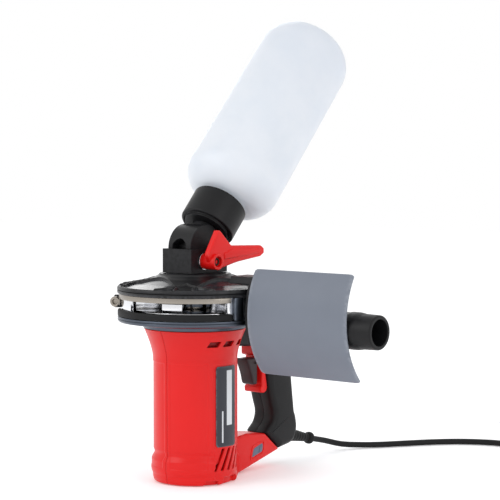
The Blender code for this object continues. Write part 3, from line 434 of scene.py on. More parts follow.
def worn_and_shaded(tree, place, edge, colour, edge_colour, gloss, wear, mottle, uneven):
    node = tree.add("ShaderNodeGroup", node_tree=shared(wear_and_shade_group, "wear_and_hollow_shade"))
    for label, value in (("Place", place), ("Colour", colour), ("Edge Colour", edge_colour), ("Edge", edge),
                         ("Wear", wear), ("Mottle", mottle), ("Gloss", gloss), ("Uneven", uneven)):
        tree.feed(node.inputs[label], value)
    return node.outputs


def bump(tree, surface, height, strength, distance):
    node = tree.add("ShaderNodeBump", {"Strength": strength, "Distance": distance, "Height": height})
    tree.feed(surface.inputs["Normal"], node.outputs["Normal"])


def moulded(name, colour, edge_colour, gloss, wear=0.35, mottle=0.10, uneven=0.10, cells=1500.0,
            depth=0.00004,
            coat=0.0, sunk=None, shine=0.25):
    """Moulded plastic or rubber: grain, edges rubbed by hands, and painted shade: a floor painted darker
    where the surface is sunk."""
    made, tree, surface, place, edge = start_material(name)
    if sunk is not None:
        # Painted shade: the floors of recesses are darkened towards the sunk colour by their depth.
        sunk_shade_share = tree.add("ShaderNodeAttribute", attribute_name="sunk").outputs["Fac"]
        colour = tree.blend(tree.ramp(sunk_shade_share, 0.15, 0.80), colour, sunk)
    out = worn_and_shaded(tree, place, edge, colour, edge_colour, gloss, wear, mottle, uneven)
    tree.feed(surface.inputs["Base Color"], out["Colour"])
    tree.feed(surface.inputs["Roughness"], out["Roughness"])
    grain = tree.add("ShaderNodeGroup", node_tree=shared(grain_group, "moulded_grain"))
    tree.feed(grain.inputs["Place"], place)
    tree.feed(grain.inputs["Cells"], cells)
    bump(tree, surface, grain.outputs["Height"], 0.35, depth)
    surface.inputs["Coat Weight"].default_value = coat
    surface.inputs["Coat Roughness"].default_value = 0.18
    surface.inputs["Specular IOR Level"].default_value = shine
    return made


def metal(name, colour, edge_colour, gloss, marks=2200.0, depth=0.000015, wear=0.4, mottle=0.15, cast=0.0):
    """Machined or cast metal: lathe marks or a cast grain, brighter edges and uneven gloss."""
    made, tree, surface, place, edge = start_material(name)
    out = worn_and_shaded(tree, place, edge, colour, edge_colour, gloss, wear, mottle, 0.12)
    tree.feed(surface.inputs["Base Color"], out["Colour"])
    tree.feed(surface.inputs["Roughness"], out["Roughness"])
    surface.inputs["Metallic"].default_value = 1.0
    if cast:
        node = tree.add("ShaderNodeGroup", node_tree=shared(grain_group, "moulded_grain"))
        tree.feed(node.inputs["Cells"], cast)
    else:
        node = tree.add("ShaderNodeGroup", node_tree=shared(lathe_group, "lathe_marks"))
        tree.feed(node.inputs["Fine"], marks)
    tree.feed(node.inputs["Place"], place)
    bump(tree, surface, node.outputs["Height"], 0.4, depth)
    return made


def film():
    """The dark label: a plain pale bar and a thin rule on a navy film, with no lettering."""
    made, tree, surface, place, edge = start_material("navy_label")
    cut = tree.add("ShaderNodeSeparateXYZ", {0: place})
    height = cut.outputs[2]
    turn = tree.maths("ARCTAN2", cut.outputs[1], cut.outputs[0])

    def band(value, low, high, soft):
        inside = tree.maths("MULTIPLY", tree.ramp(value, low, low + soft),
                            tree.ramp(value, high, high - soft))
        return inside

    bar = tree.maths("MULTIPLY", band(turn, -0.04, 0.16, 0.008), band(height, 0.056, 0.108, 0.0004))
    rule = tree.maths("MULTIPLY", band(turn, -0.19, -0.14, 0.008), band(height, 0.040, 0.070, 0.0004))
    both = tree.maths("MAXIMUM", bar, rule)
    colour = tree.blend(both, tone(26, 31, 42), tone(206, 210, 214))
    out = worn_and_shaded(tree, place, edge, colour, tone(120, 124, 130), 0.34, 0.5, 0.10, 0.10)
    tree.feed(surface.inputs["Base Color"], out["Colour"])
    tree.feed(surface.inputs["Roughness"], out["Roughness"])
    fibre = tree.noise(place, 900.0, 2.0)
    bump(tree, surface, fibre, 0.25, 0.00002)
    return made


def milky():
    """Natural blow-moulded plastic: milky, a little see-through, with faint flow lines along its length."""
    made, tree, surface, place, edge = start_material("milky_plastic")
    cloud = tree.noise(place, 22.0, 4.0)
    axis = (0.0, sin(radians(LEAN)), cos(radians(LEAN)))
    along = tree.add("ShaderNodeVectorMath", {0: place, 1: axis}, operation="DOT_PRODUCT").outputs["Value"]
    colour = tree.blend(tree.ramp(cloud, 0.3, 0.75), tone(232, 238, 247), tone(224, 232, 243))
    fade = tree.ramp(along, 0.26, 0.50)
    colour = tree.blend(tree.maths("MULTIPLY", fade, 0.5), colour, tone(206, 214, 228))
    tree.feed(surface.inputs["Base Color"], colour)
    swing = tree.maths("MULTIPLY", tree.noise(place, 60.0, 5.0), 0.16)
    tree.feed(surface.inputs["Roughness"], tree.maths("ADD", swing, 0.30))
    ripple = tree.noise(place, 130.0, 2.0)
    bump(tree, surface, ripple, 0.25, 0.00008)
    surface.inputs["Transmission Weight"].default_value = 0.12
    surface.inputs["IOR"].default_value = 1.45
    surface.inputs["Subsurface Weight"].default_value = 0.35
    surface.inputs["Subsurface Radius"].default_value = (0.9, 0.95, 1.0)
    surface.inputs["Subsurface Scale"].default_value = 0.008
    return made


def finish(slot):
    """The material for one of the record's slots, made the first time that it is asked for."""
    name = f"{slot}_finish"
    found = bpy.data.materials.get(name)
    if found:
        return found
    look = bpy.context.scene.blaster_colours
    red, black, grey = (tuple(colour) for colour in (look.shell, look.grip, look.guard))
    made = {
        # tone(120, 4, 6) is painted shade on the floors of the body's vents.
        "red_shell": lambda: moulded(name, red, tone(238, 92, 78), 0.34, 0.18, 0.10, 0.08, 2600.0, 0.00002,
                                     0.0,
                                     tone(120, 4, 6), 0.30),
        "black_plastic": lambda: moulded(name, black, tone(50, 50, 54), 0.46, 0.35, 0.08, 0.06, 1300.0,
                                         0.00003),
        "black_rubber": lambda: moulded(name, tone(14, 14, 15), tone(46, 46, 48), 0.60, 0.25, 0.10, 0.08,
                                        1800.0),
        "dark_trigger": lambda: moulded(name, tone(52, 44, 46), tone(92, 86, 90), 0.40, 0.40, 0.20, 0.12,
                                        2200.0),
        "cast_alloy": lambda: metal(name, tone(84, 90, 100), tone(170, 178, 190), 0.34, 1600.0, 0.00002),
        "polished_steel": lambda: metal(name, tone(232, 233, 236), tone(250, 250, 250), 0.13, 2600.0,
                                        0.000006),
        "plain_steel": lambda: metal(name, tone(150, 143, 134), tone(214, 210, 204), 0.28, 1800.0, 0.00001),
        "copper": lambda: metal(name, tone(196, 110, 62), tone(232, 160, 110), 0.32, cast=900.0),
        "label_film": film,
        "grey_button": lambda: moulded(name, tone(100, 110, 128), tone(150, 158, 172), 0.32, 0.4, 0.15),
        "grey_guard": lambda: moulded(name, grey, tone(150, 154, 162), 0.44, 0.5, 0.16, 0.10, 700.0,
                                      0.00006),
        "bottle_plastic": milky,
    }[slot]()
    made.name = name
    return made


# ------------------------------------------------------------------ pieces


def soft_box(across, along, half_across, half_along, edge):
    """1 inside a rectangle and 0 outside it, with a slope this wide at its border."""
    inside = np.clip((half_across - np.abs(across)) / edge, 0,
                     1) * np.clip((half_along - np.abs(along)) / edge, 0, 1)
    return inside * inside * (3 - 2 * inside)


def body_radius(z):
    """The body's outer radius at a height: straight, with a bulge and a waist at the foot and a flare at
    the top that grows as the height above the straight part to the power 1.5."""
    heights = [0.0003, 0.0015, 0.0050, 0.0083, 0.0105, 0.0125, 0.0222, 0.0245, 0.0272, 0.0290, 0.0318, 0.118]
    radii = [0.0375, 0.0392, 0.0402, 0.0404, 0.0413, 0.0418, 0.0418, 0.0406, 0.0391, 0.0391, 0.0400, 0.0400]
    share = np.clip((z - BODY_STRAIGHT) / (BODY_TOP - BODY_STRAIGHT), 0, 1)
    return np.interp(z, heights, radii) + (FLARE_R - BODY_R) * share**1.5


def foot_edge(turn):
    """The height of the body's lower edge at each angle in degrees: it stands on feet with raised gaps
    between."""
    edge = np.full(np.shape(turn), 0.0003)
    for start, end, lift, slope in ((-37, -13, 0.0045, 3.5), (-8, 28, 0.0070, 2.5), (150, 172, 0.0045, 3.5),
                                    (188, 212, 0.0045, 3.5)):
        edge += lift * np.clip(np.minimum(turn - start, end - turn) / slope, 0, 1)
    return edge


def skin_radius(turn, z):
    """The body's radius with the flat panel under the label, where its foot neither bulges nor narrows."""
    across = radians(1) * (turn - 9) * BODY_R
    panel = soft_box(across, z - 0.020, 0.0215, 0.0150, 0.0008)
    return body_radius(z) * (1 - panel) + (BODY_R - 0.0004) * panel


def body_hollows(turn, z):
    """How far each point of the body is sunk, in metres, from its angle in degrees and its height:
    slanted vents at the top and the foot, the sunk panel at the front and the step of the label's panel."""
    sunk = np.zeros(np.broadcast(turn, z).shape)
    deepest = bpy.context.scene.blaster_sizes.vent_depth
    radius = body_radius(z)
    for angles, middle, half_wide, half_tall, slant in (
        ((-24, -1.5, 25), 0.133, 0.0058, 0.0026, 38),
        ((-14, -2, 10, 22, 34), 0.024, 0.0019, 0.0104, 30),
    ):
        for angle in angles:
            across = radians(1) * (turn - angle) * radius - sin(radians(slant)) * (z - middle)
            sunk = np.maximum(sunk, deepest * soft_box(across, z - middle, half_wide, half_tall, 0.0005))
    front = radians(1) * (turn + 58) * radius
    sunk = np.maximum(sunk, 0.00045 * soft_box(front, z - 0.065, 0.0195, 0.0500, 0.0012))
    label = radians(1) * (turn + 1) * radius
    sunk = np.maximum(sunk, 0.00030 * soft_box(label, z - 0.0740, 0.0160, 0.0400, 0.0006))
    return sunk


def shell_half(side):
    """Half of the red body: at each angle its section runs down the outside and back up the inside, and
    the outside is sunk by the hollows and eased where the two halves meet."""
    count = 420
    turn = np.degrees(np.linspace(-pi / 2, pi / 2, count)) + (0 if side > 0 else 180)
    z = np.concatenate([np.linspace(BODY_TOP, 0.118, 62), np.linspace(0.1175, 0.0003, 250)])
    grid_turn, grid_z = np.meshgrid(turn, z, indexing="ij")
    foot = foot_edge(turn)[:, None]
    grid_z = np.maximum(grid_z, foot)
    sunk = body_hollows(grid_turn, grid_z) if side > 0 else 0.00045 * soft_box(
        radians(1) * (grid_turn - 238) * body_radius(grid_z), grid_z - 0.065, 0.0195, 0.0500, 0.0012)
    seam = np.minimum(turn - turn[0], turn[-1] - turn)[:, None] * radians(1) * BODY_R
    eased = 0.0005 * np.clip(1 - seam / 0.0006, 0, 1) ** 2
    rim = 0.0005 * np.clip(1 - np.minimum(BODY_TOP - grid_z, grid_z - foot) / 0.0006, 0, 1) ** 2
    radius = skin_radius(grid_turn, grid_z) - sunk - eased - rim
    inner_turn, share = np.meshgrid(turn, np.linspace(0, 1, 8), indexing="ij")
    inner_level = foot + share * (BODY_TOP - foot)
    radius = np.concatenate([radius, body_radius(inner_level) - 0.0042], axis=1)
    level = np.concatenate([grid_z, inner_level], axis=1)
    angle = np.radians(np.concatenate([grid_turn, inner_turn], axis=1))
    x = radius * np.cos(angle) + side * GAP / 2
    grid = np.stack([x, radius * np.sin(angle), level], axis=-1)
    depth = np.concatenate([sunk / bpy.context.scene.blaster_sizes.vent_depth, 0 * inner_level], axis=1)
    return {"grid": grid, "wrap": (False, True), "caps": "rows"}, depth.ravel()


LINK = [(0.0345, 0.0086), (0.0430, 0.0083), (0.0440, 0.0008), (0.0490, 0.0008), (0.1103, 0.0168),
        (0.0888, 0.0346),
        (0.0620, 0.0379), (0.0345, 0.0352)]
GRIP = [(0.0894, 0.0349), (0.1110, 0.0170), (0.1345, 0.0208), (0.1400, 0.0360), (0.1372, 0.0478),
        (0.1352, 0.0520),
        (0.1295, 0.0950), (0.1270, 0.1320), (0.1200, 0.1425), (0.1090, 0.1455), (0.0405, 0.1455),
        (0.0385, 0.1250),
        (0.0700, 0.1222), (0.0865, 0.1220), (0.0912, 0.1175), (0.0920, 0.1040), (0.0925, 0.0950),
        (0.0956, 0.0740),
        (0.1030, 0.0530), (0.1000, 0.0440), (0.0930, 0.0385)]
GRIP_CORNERS = [0.0006, 0.0006, 0.010, 0.012, 0.003, 0.003, 0.030, 0.012, 0.012, 0.012, 0.001, 0.001, 0.008,
                0.003,
                0.003, 0.006, 0.006, 0.012, 0.012, 0.010, 0.003]
FRAME = [(0.0850, 0.0752), (0.0900, 0.0742), (0.0935, 0.0757), (0.0950, 0.0790), (0.0920, 0.0950),
         (0.0914, 0.1040),
         (0.0907, 0.1172), (0.0862, 0.1216), (0.0800, 0.1216), (0.0800, 0.1125), (0.0866, 0.1105),
         (0.0866, 0.0818),
         (0.0845, 0.0805)]
TRIGGER = [(0.0680, 0.1096), (0.0697, 0.1040), (0.0742, 0.0940), (0.0765, 0.0855), (0.0782, 0.0832),
           (0.0835, 0.0832), (0.0838, 0.1096)]


def halves(shape, low_rim, half, rim, corners):
    """The right and left halves of a slab that is split at X = 0, each eased at the split."""
    right = slab(shape, GAP / 2, half, (low_rim, rim), corners)
    left = slab(shape, -half, -GAP / 2, (rim, low_rim), corners)
    return right, left


def sunk_marks(depth, *level):
    """How far each point is sunk, from 0 to 1: a half shell's own depths, then 0 for the grids that
    follow it."""
    return {"sunk": np.concatenate([depth, *(np.zeros(part["grid"][..., 0].size) for part in level)])}


def on_body(u, v, level):
    """A sheet's place when it is wrapped round the body: U is measured along the body's skin."""
    return np.stack([level * np.cos(u / BODY_R), level * np.sin(u / BODY_R), v], axis=-1)


def make_body():
    right, right_depth = shell_half(1)
    left, left_depth = shell_half(-1)
    link_right, link_left = halves(LINK, 0.0003, 0.0145, 0.0035, 0.0022)
    ring = raised_frame()
    piece("body_shell_right", [right, link_right, ring], "housing", "red_shell", ["housing_right"],
          marks=sunk_marks(right_depth, link_right, ring))
    piece("body_shell_left", [left, link_left], "housing", "red_shell", ["housing_left"],
          marks=sunk_marks(left_depth, link_left))
    piece("foot_cap", [foot_cap()], "housing", "red_shell", ["base_cap"])
    arc = (radians(-19.5) * BODY_R, radians(17.5) * BODY_R)
    sheet = filled_sheet(arc, (0.0362, 0.1118), BODY_R - 0.0001, BODY_R + 0.0009, on_body)
    piece("label_plate", sheet, "housing", "label_film", ["name_plate"])
    for row in ("front_low", "back_low", "front_high", "back_high"):
        screw_head(f"housing_screw_{row}", "housing")


def filled_sheet(sides, ends, low, high, place):
    """A thin bent sheet: rows across it run between its two long edges, so that it follows the bend. At a
    distance d from an end, less than its corner radius c, each row is c - (c^2 - (c - d)^2)^0.5 shorter
    at both sides."""
    heights = np.linspace(*ends, 40)
    middle, half = (sides[0] + sides[1]) / 2, (sides[1] - sides[0]) / 2
    corner = 0.0016
    into = np.clip(corner - np.minimum(heights - heights[0], heights[-1] - heights), 0, corner)
    short = corner - np.sqrt(np.maximum(corner**2 - into**2, 0))
    across = np.linspace(-1, 1, 24)
    u = middle + across[None, :] * (half - short[:, None])
    v = np.broadcast_to(heights[:, None], u.shape)
    top = place(u, v, np.full_like(u, high))
    under = place(u, v, np.full_like(u, low))
    grid = np.concatenate([top, under[:, ::-1]], axis=1)
    return [{"grid": grid, "wrap": (False, True), "caps": "rows"}]


def foot_cap():
    """The cap that closes the body's foot, set in behind its skirt."""
    profile = eased_line([(0, 0.0080), (0.0356, 0.0080), (0.0360, 0.0074), (0.0360, 0.0012),
                          (0.0352, 0.0004),
                          (0.0300, 0.0002), (0.0285, 0.0022), (0, 0.0022)], 0.0008, 4)
    return lathe(profile, 160)


def button_outline(wider):
    """The lock button's face: a four-sided outline that slants with the arm, as (Y, Z)."""
    half, tall, slant = 0.0088 + wider, 0.0046 + wider, 0.0022
    return [(0.0750 - half, 0.0200 - tall - slant), (0.0750 + half - 0.0022, 0.0200 - tall + slant),
            (0.0750 + half, 0.0200 + tall + slant), (0.0750 - half + 0.0028, 0.0200 + tall - slant)]


def raised_frame():
    """The raised lip round the lock button."""
    levels = ((0.0013, 0.0138), (0.0024, 0.0138), (0.0022, 0.0150), (0.0013, 0.0150))
    rows = [corner_curves(outline(button_outline(wider)), 0.0030, 8).reshape(-1, 2) for wider, _ in levels]
    grid = np.stack([np.concatenate([np.full((len(row), 1), level), row], axis=1)
                     for row, (_, level) in zip(rows, levels, strict=True)])
    return {"grid": grid, "wrap": (True, True), "caps": None}


def screw_head(node, body):
    """A pan-head screw with a cross recess sunk into its crown."""
    low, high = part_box(node)
    head = 0.0028

    def crossed(grid):
        x, y = grid[..., 0], grid[..., 1]
        bar = np.maximum(soft_box(x, y, 0.0017, 0.0004, 0.0002), soft_box(x, y, 0.0004, 0.0017, 0.0002))
        grid[..., 2] -= 0.0009 * bar * (grid[..., 2] > 0.0008)
        return grid

    rings = [(r, 0.0020 - 0.9 * r * r / head * 0.35) for r in np.linspace(0, head * 0.86, 22)]
    profile = [*rings, (head, 0.0010), (head, 0), (0.0013, 0), (0.0013, -0.0188), (0, -0.0188)]
    crown = placed(lathe(profile, 48, False, crossed),
                   (low.x + 0.0022, (low.y + high.y) / 2, (low.z + high.z) / 2),
                   (-1, 0, 0))
    piece(f"{node}_head", [crown], body, "plain_steel", [node])


def make_handle():
    right, left = halves(GRIP, 0.0003, 0.0150, 0.0062, GRIP_CORNERS)
    piece("grip_cover_right", [right], "housing", "black_plastic", ["grip_right"])
    piece("grip_cover_left", [left], "housing", "black_plastic", ["grip_left"])
    for row in ("low", "high"):
        screw_head(f"grip_screw_{row}", "housing")
    piece("trigger_surround", [slab(FRAME, -0.0110, 0.0110, (0.0016, 0.0016), 0.0016)], "housing",
          "red_shell",
          ["trigger_frame"])
    blade = slab(TRIGGER, -0.0080, 0.0080, (0.0022, 0.0022), 0.0022, between=3)
    piece("trigger_lever", [blade], "trigger", "dark_trigger", ["trigger"])
    face = slab(button_outline(0), 0.0087, 0.0150, (0.0002, 0.0012), 0.0026)
    tab = slab([(0.0762, 0.0168), (0.0812, 0.0180), (0.0826, 0.0246), (0.0776, 0.0234)], 0.0145, 0.0156,
               (0.0002, 0.0006), 0.0012)
    piece("lock_button_face", [face, tab], "lock_button", "grey_button", ["lock_button"])
    eased("trigger_pin", "housing", "plain_steel", 0.0002)
    make_relief()


def make_relief():
    """The cord's sleeve: it tapers from the grip in shallow rings to a bead."""
    along = np.linspace(0, 1, 60)
    taper = 0.0074 - 0.0032 * along**0.8
    rings = 0.00035 * (0.5 + 0.5 * np.cos(2 * pi * along * 7)) * np.clip((along - 0.12) * 8, 0, 1)
    sleeve = list(zip(taper - rings, along * 0.0325, strict=True))
    bead = [(0.0048, 0.0330), (0.0060, 0.0345), (0.0062, 0.0362), (0.0060, 0.0378), (0.0046, 0.0388),
            (0.0030, 0.0390)]
    profile = [(0, 0.0390), *[(r, z) for r, z in bead[::-1]], *sleeve[::-1], (0, 0.0)]
    tilt = radians(13)
    part = placed(lathe(profile, 56), (0, 0.1392, 0.0265), (0, cos(tilt), -sin(tilt)))
    piece("cord_sleeve", [part], "housing", "black_rubber", ["strain_relief"])


def cord_line():
    """The cord's own line: out of the sleeve, down to the floor and along it, then round the coil. The
    coil's turns lie in layers of four. A step to the next turn or layer is d (3 t^2 - 2 t^3), a quarter
    turn long."""
    tilt = radians(13)
    out = np.array((0, cos(tilt), -sin(tilt)))
    leave = np.array((0, 0.1392, 0.0265)) + out * 0.0393
    route = np.array([leave, leave + out * 0.010, (0, 0.2020, 0.0121), (0.0040, 0.2240, 0.0062),
                      (0.0140, 0.2440, 0.0038), (0.0270, 0.2620, 0.0032), (0.0430, 0.2860, 0.0032),
                      (0.0600, 0.3110, 0.0032), (0.0830, 0.3340, 0.0032), (0.1100, 0.3475, 0.0032),
                      (0.1330, 0.3490, 0.0034)])
    turn = np.arange(12.0, 2686.0, 9.0)
    rings, layers = np.array((0.0274, 0.0336, 0.0398, 0.0460)), np.array((0.0040, 0.0101, 0.0162))
    steps = {"ring": [(270, -1), (630, -1), (990, -1), (1530, 1), (1890, 1), (2250, 1)],
             "layer": [(1260, 1), (2520, 1)]}
    ring, layer = np.full(len(turn), 3.0), np.zeros(len(turn))
    for start, way in steps["ring"]:
        ring += way * step_up(turn, start)
    for start, way in steps["layer"]:
        layer += way * step_up(turn, start)
    radius = np.interp(ring, range(4), rings)
    height = np.interp(layer, range(3), layers)
    angle = np.radians(turn - 90)
    coil = np.stack([COIL_CENTRE[0] + radius * np.cos(angle), COIL_CENTRE[1] + radius * np.sin(angle),
                     height], axis=1)
    end = np.array([(0.1520, 0.4418, 0.0150), (0.1440, 0.4425, 0.0118), (0.1360, 0.4425, 0.0102)])
    return leave, np.concatenate([smooth_line(np.concatenate([route, coil[:1]]), 34), coil[1:],
                                  smooth_line(np.concatenate([coil[-1:], end]), 8)[1:]])


def step_up(turn, start):
    t = np.clip((turn - start) / 90, 0, 1)
    return t * t * (3 - 2 * t)


def smooth_line(route, count):
    """Evenly spaced points on the Catmull-Rom curve through a route."""
    ends = np.concatenate([[2 * route[0] - route[1]], route, [2 * route[-1] - route[-2]]])
    t = np.linspace(0, 1, 24, endpoint=False)[None, :, None]
    before, a, b, after = (ends[i:len(ends) - 3 + i, None] for i in range(4))
    dense = 0.5 * (2 * a + (b - before) * t + (2 * before - 5 * a + 4 * b - after) * t**2
                   + (3 * a - before - 3 * b + after) * t**3)
    dense = np.concatenate([dense.reshape(-1, 3), route[-1:]])
    gone = np.concatenate([[0], np.cumsum(np.linalg.norm(np.diff(dense, axis=0), axis=1))])
    even = np.linspace(0, gone[-1], count)
    return np.stack([np.interp(even, gone, dense[:, k]) for k in range(3)], axis=1)


def make_cord():
    leave, line = cord_line()
    tie = piece("coil_tie", [coil_tie()], "housing", "black_plastic", ["cord_tie"])
    plug = piece("mains_plug", plug_parts(), "housing", "black_plastic", ["plug"])
    pins = piece("plug_pins", plug_pins(), "housing", "polished_steel")
    lead = piece("mains_lead", [tube(line, 0.0030, 14)], "housing", "black_rubber", ["cord", "cord_coil"])


def coil_tie():
    """A flat strap round the coil's section: a rounded strip carried round a rounded rectangle."""
    loop = rounded([(-0.0132, 0.0002), (0.0132, 0.0002), (0.0132, 0.0200), (-0.0132, 0.0200)], 0.0045, 8)
    inner = drawn_in(loop, 0.0009)
    half = 0.0050
    section = np.stack([loop, loop, inner, inner])
    across = np.array((-half, half, half, -half))[:, None] * np.ones(len(loop))
    turn = radians(-60)
    radial = COIL_R + section[..., 0]
    x = COIL_CENTRE[0] + radial * cos(turn) - across * sin(turn)
    y = COIL_CENTRE[1] + radial * sin(turn) + across * cos(turn)
    return {"grid": np.stack([x, y, section[..., 1]], axis=-1), "wrap": (True, True), "caps": None}


def plug_parts():
    body = box((0.0842, 0.4290, 0.0003), (0.1218, 0.4560, 0.0198), 0.0045, 0.0035)
    ridges = [box((x, 0.4287, 0.0050), (x + 0.0014, 0.4563, 0.0150), 0.0004, 0.0003) for x in (0.108, 0.112,
            0.116)]
    along = np.linspace(0, 1, 30)
    taper = 0.0048 - 0.0012 * along + 0.0002 * np.cos(2 * pi * along * 5)
    tail = [(0, 0.0120), *zip(taper[::-1], 0.0120 * along[::-1], strict=True), (0, 0)]
    return [body, *ridges, placed(lathe(tail, 32), (0.1218, 0.4425, 0.0100), (1, 0, 0))]


def plug_pins():
    profile = eased_line([(0, 0.0190), (0.0023, 0.0190), (0.0023, 0), (0, 0)], 0.0012, 4)
    return [placed(lathe(profile, 24), (0.0842, 0.4425 + side * 0.0095, 0.0100), (-1, 0, 0)) for side in (-1,
            1)]


def make_chamber():
    flange = [(0.0052, 0.1575), (0.0726, 0.1575), (0.0733, 0.1567), (0.0733, 0.1556), (0.0725, 0.1551),
              (0.0733, 0.1546), (0.0733, 0.1536), (0.0720, 0.1520), (0.0620, 0.1505), (0.0560, 0.1501),
              (0.0492, 0.1490), (0.0490, 0.1462), (0.0430, 0.1460), (0.0430, 0.1410), (0.0400, 0.1410),
              (0.0400, 0.1475), (0.0150, 0.1475), (0.0150, 0.1345), (0.0113, 0.1345), (0.0113, 0.1438),
              (0.0052, 0.1438)]
    piece("mounting_flange", [turned(flange, 0.0004, 160)], "housing", "cast_alloy", ["adapter_flange"])
    low, high = 0.1578, 0.1787
    outer = LINER_R + LINER_WALL + GAP
    liner = [(LINER_R, low), (LINER_R + LINER_WALL, low), (LINER_R + LINER_WALL, high), (LINER_R, high)]
    header = [(LINER_R, 0.1739), (0.0721, 0.1739), (0.0721, high), (LINER_R, high)]
    piece("wheel_liner", [bent(liner, -23, 252, 0.0006)], "housing", "polished_steel", ["chamber_liner"])
    piece("liner_header", [bent(header, -137.5, -20.6, 0.0006)], "housing", "plain_steel")
    lip = [(outer, low), (0.0732, low), (0.0732, 0.1622), (0.0722, 0.1640), (outer, 0.1640)]
    piece("mouth_seal", [bent(lip, -139, -20, 0.0017, 0.0005)], "housing", "black_rubber", ["mouth_lip"])
    band = [(outer, low), (outer + 0.0018, low), (outer + 0.0022, low + 0.002),
            (outer + 0.0022, high - 0.002),
            (outer + 0.0018, high), (outer, high)]
    piece("band_clamp", [bent(band, 18, 196, 0.0007)], "housing", "black_plastic", ["clamp_band"])
    post = [(outer, low), (outer + 0.0028, low), (outer + 0.0028, high), (outer, high)]
    piece("mouth_stanchion", [bent(post, -18.4, -9.6, 0.0010, 0.0006)], "housing", "cast_alloy",
          ["mouth_post"])
    eased("feed_bush", "housing", "cast_alloy", 0.0003)
    make_band_screw()


def make_band_screw():
    """The screw that draws the band together, with its hook and its barrel nut."""
    turn = radians(214)
    out, along = np.array((cos(turn), sin(turn), 0)), np.array((-sin(turn), cos(turn), 0))
    middle = out * 0.0752 + (0, 0, 0.1700)
    socket = [(0, 0.0052), (0.0024, 0.0052), (0.0026, 0.0090), (0.0042, 0.0090), (0.0050, 0.0080),
              (0.0050, 0.0042),
              (0.0025, 0.0040), (0.0025, -0.0150), (0, -0.0150)]
    knurl = placed(turned(socket, 0.0004, 72, False), middle, along)
    piece("band_screw", [knurl], "housing", "plain_steel", ["clamp_bolt"])
    eased("clamp_hook", "housing", "black_plastic", 0.0004)
    eased("clamp_nut", "housing", "plain_steel", 0.0004)


def make_wheel():
    disc = [(0.0044, 0.1640), (0.0578, 0.1640), (0.0589, 0.1632), (0.0589, 0.1600), (0.0582, 0.1596),
            (0.0044, 0.1596)]
    parts = [turned(disc, 0.0003, 160)]
    blades = bpy.context.scene.blaster_sizes.blades
    for number in range(blades):
        middle = -70 + ALL_ROUND / blades * number
        blade = [(0.0220, 0.1636), (0.0585, 0.1636), (0.0585, 0.1724), (0.0220, 0.1724)]
        parts.append(bent(blade, middle - 10, middle + 10, 0.0006, 0.0004))
    piece("throwing_wheel", parts, "rotor", "polished_steel", ["blast_wheel"])
    cover = [(0.0190, 0.1768), (0.0545, 0.1768), (0.0590, 0.1756), (0.0599, 0.1746), (0.0599, 0.1729),
             (0.0190, 0.1729)]
    piece("wheel_top_disc", [turned(cover, 0.0004, 160)], "rotor", "plain_steel", ["wheel_cover_disc"])
    eased("wheel_nut", "rotor", "plain_steel", 0.0004)
    eased("feed_impeller", "rotor", "plain_steel", 0.0004)
    eased("control_cage", "housing", "cast_alloy", 0.0003)


def cover_relief(turn, radius):
    """The height of the cover's ribs, from 0 to 1, and where its glossy panels are. With s running from 0
    at the rim to 1 at the top, an arch rib follows s = 0.9 (1 - (a / 40)^2)^0.5 on each side of its
    middle, and between two arches an upturned V follows s = 0.62 - 0.62 a / 24."""
    s = (0.0705 - radius) / (0.0705 - 0.0350)
    a = np.abs((turn + 12 + 45) % 90 - 45)
    arch = 0.90 * np.sqrt(np.clip(1 - (a / 38) ** 2, 0, 1))
    from_arch = np.abs(s - arch) * 0.0355
    side = np.abs(a - 38) * radians(1) * radius
    near = np.minimum(np.where(a < 38, from_arch, 1.0), np.where(s < 0.25, side, 1.0))
    b = 45 - a
    vee = np.abs(s - (0.62 - 0.62 * b / 24)) * 0.0355
    near = np.minimum(near, np.where(b < 24, vee, 1.0))
    rib = np.clip((0.0013 - near) / 0.0005, 0, 1)
    inside = np.clip((arch - s) * 0.0355 / 0.0006, 0, 1) * np.clip(s / 0.04, 0, 1) * (a < 38)
    return rib * rib * (3 - 2 * rib) * (s > -0.02) * (s < 1.02), inside * (1 - rib)


def make_cover():
    """The top cover: a satin rim, then a cone with raised arch ribs that frame glossy panels."""
    radii = np.linspace(0.0705, 0.0345, 110)
    slope = np.interp(radii, [0.0345, 0.040, 0.051, 0.0640, 0.0705],
                      [0.1960, 0.1930, 0.1890, 0.1866, 0.1858])
    outside = [(0.0310, 0.1979), (0.0335, 0.1974), *zip(radii[::-1], slope[::-1], strict=True),
               (0.0722, 0.1860), (0.0731, 0.1853), (0.0736, 0.1840), (0.0736, 0.1826), (0.0730, 0.1822),
               (0.0736, 0.1818), (0.0736, 0.1798), (0.0731, 0.1790), (0.0600, 0.1790)]
    inside = [(0.0600, 0.1825), (0.0480, 0.1855), (0.0380, 0.1880), (0.0240, 0.1910), (0.0164, 0.1910)]
    profile = [(0.0164, 0.1979), *outside, *inside]
    sides = 480
    r, z = np.array(profile).T
    turn = np.linspace(0, 360, sides, endpoint=False)
    grid_turn, grid_r = np.meshgrid(turn, r)
    rib, panel = cover_relief((grid_turn + 180) % 360 - 180, grid_r)
    on_cone = ((np.arange(len(r)) >= 3) & (np.arange(len(r)) < 3 + len(radii)))[:, None]
    rib, panel = rib * on_cone, panel * on_cone
    part = lathe(profile, sides, True)
    part["grid"][..., 2] += bpy.context.scene.blaster_sizes.rib_height * rib - 0.0008 * panel
    piece("ribbed_cover", [part], "housing", "black_plastic", ["top_cover"], cover_look(),
          marks={"panel": panel, "sunk": panel})


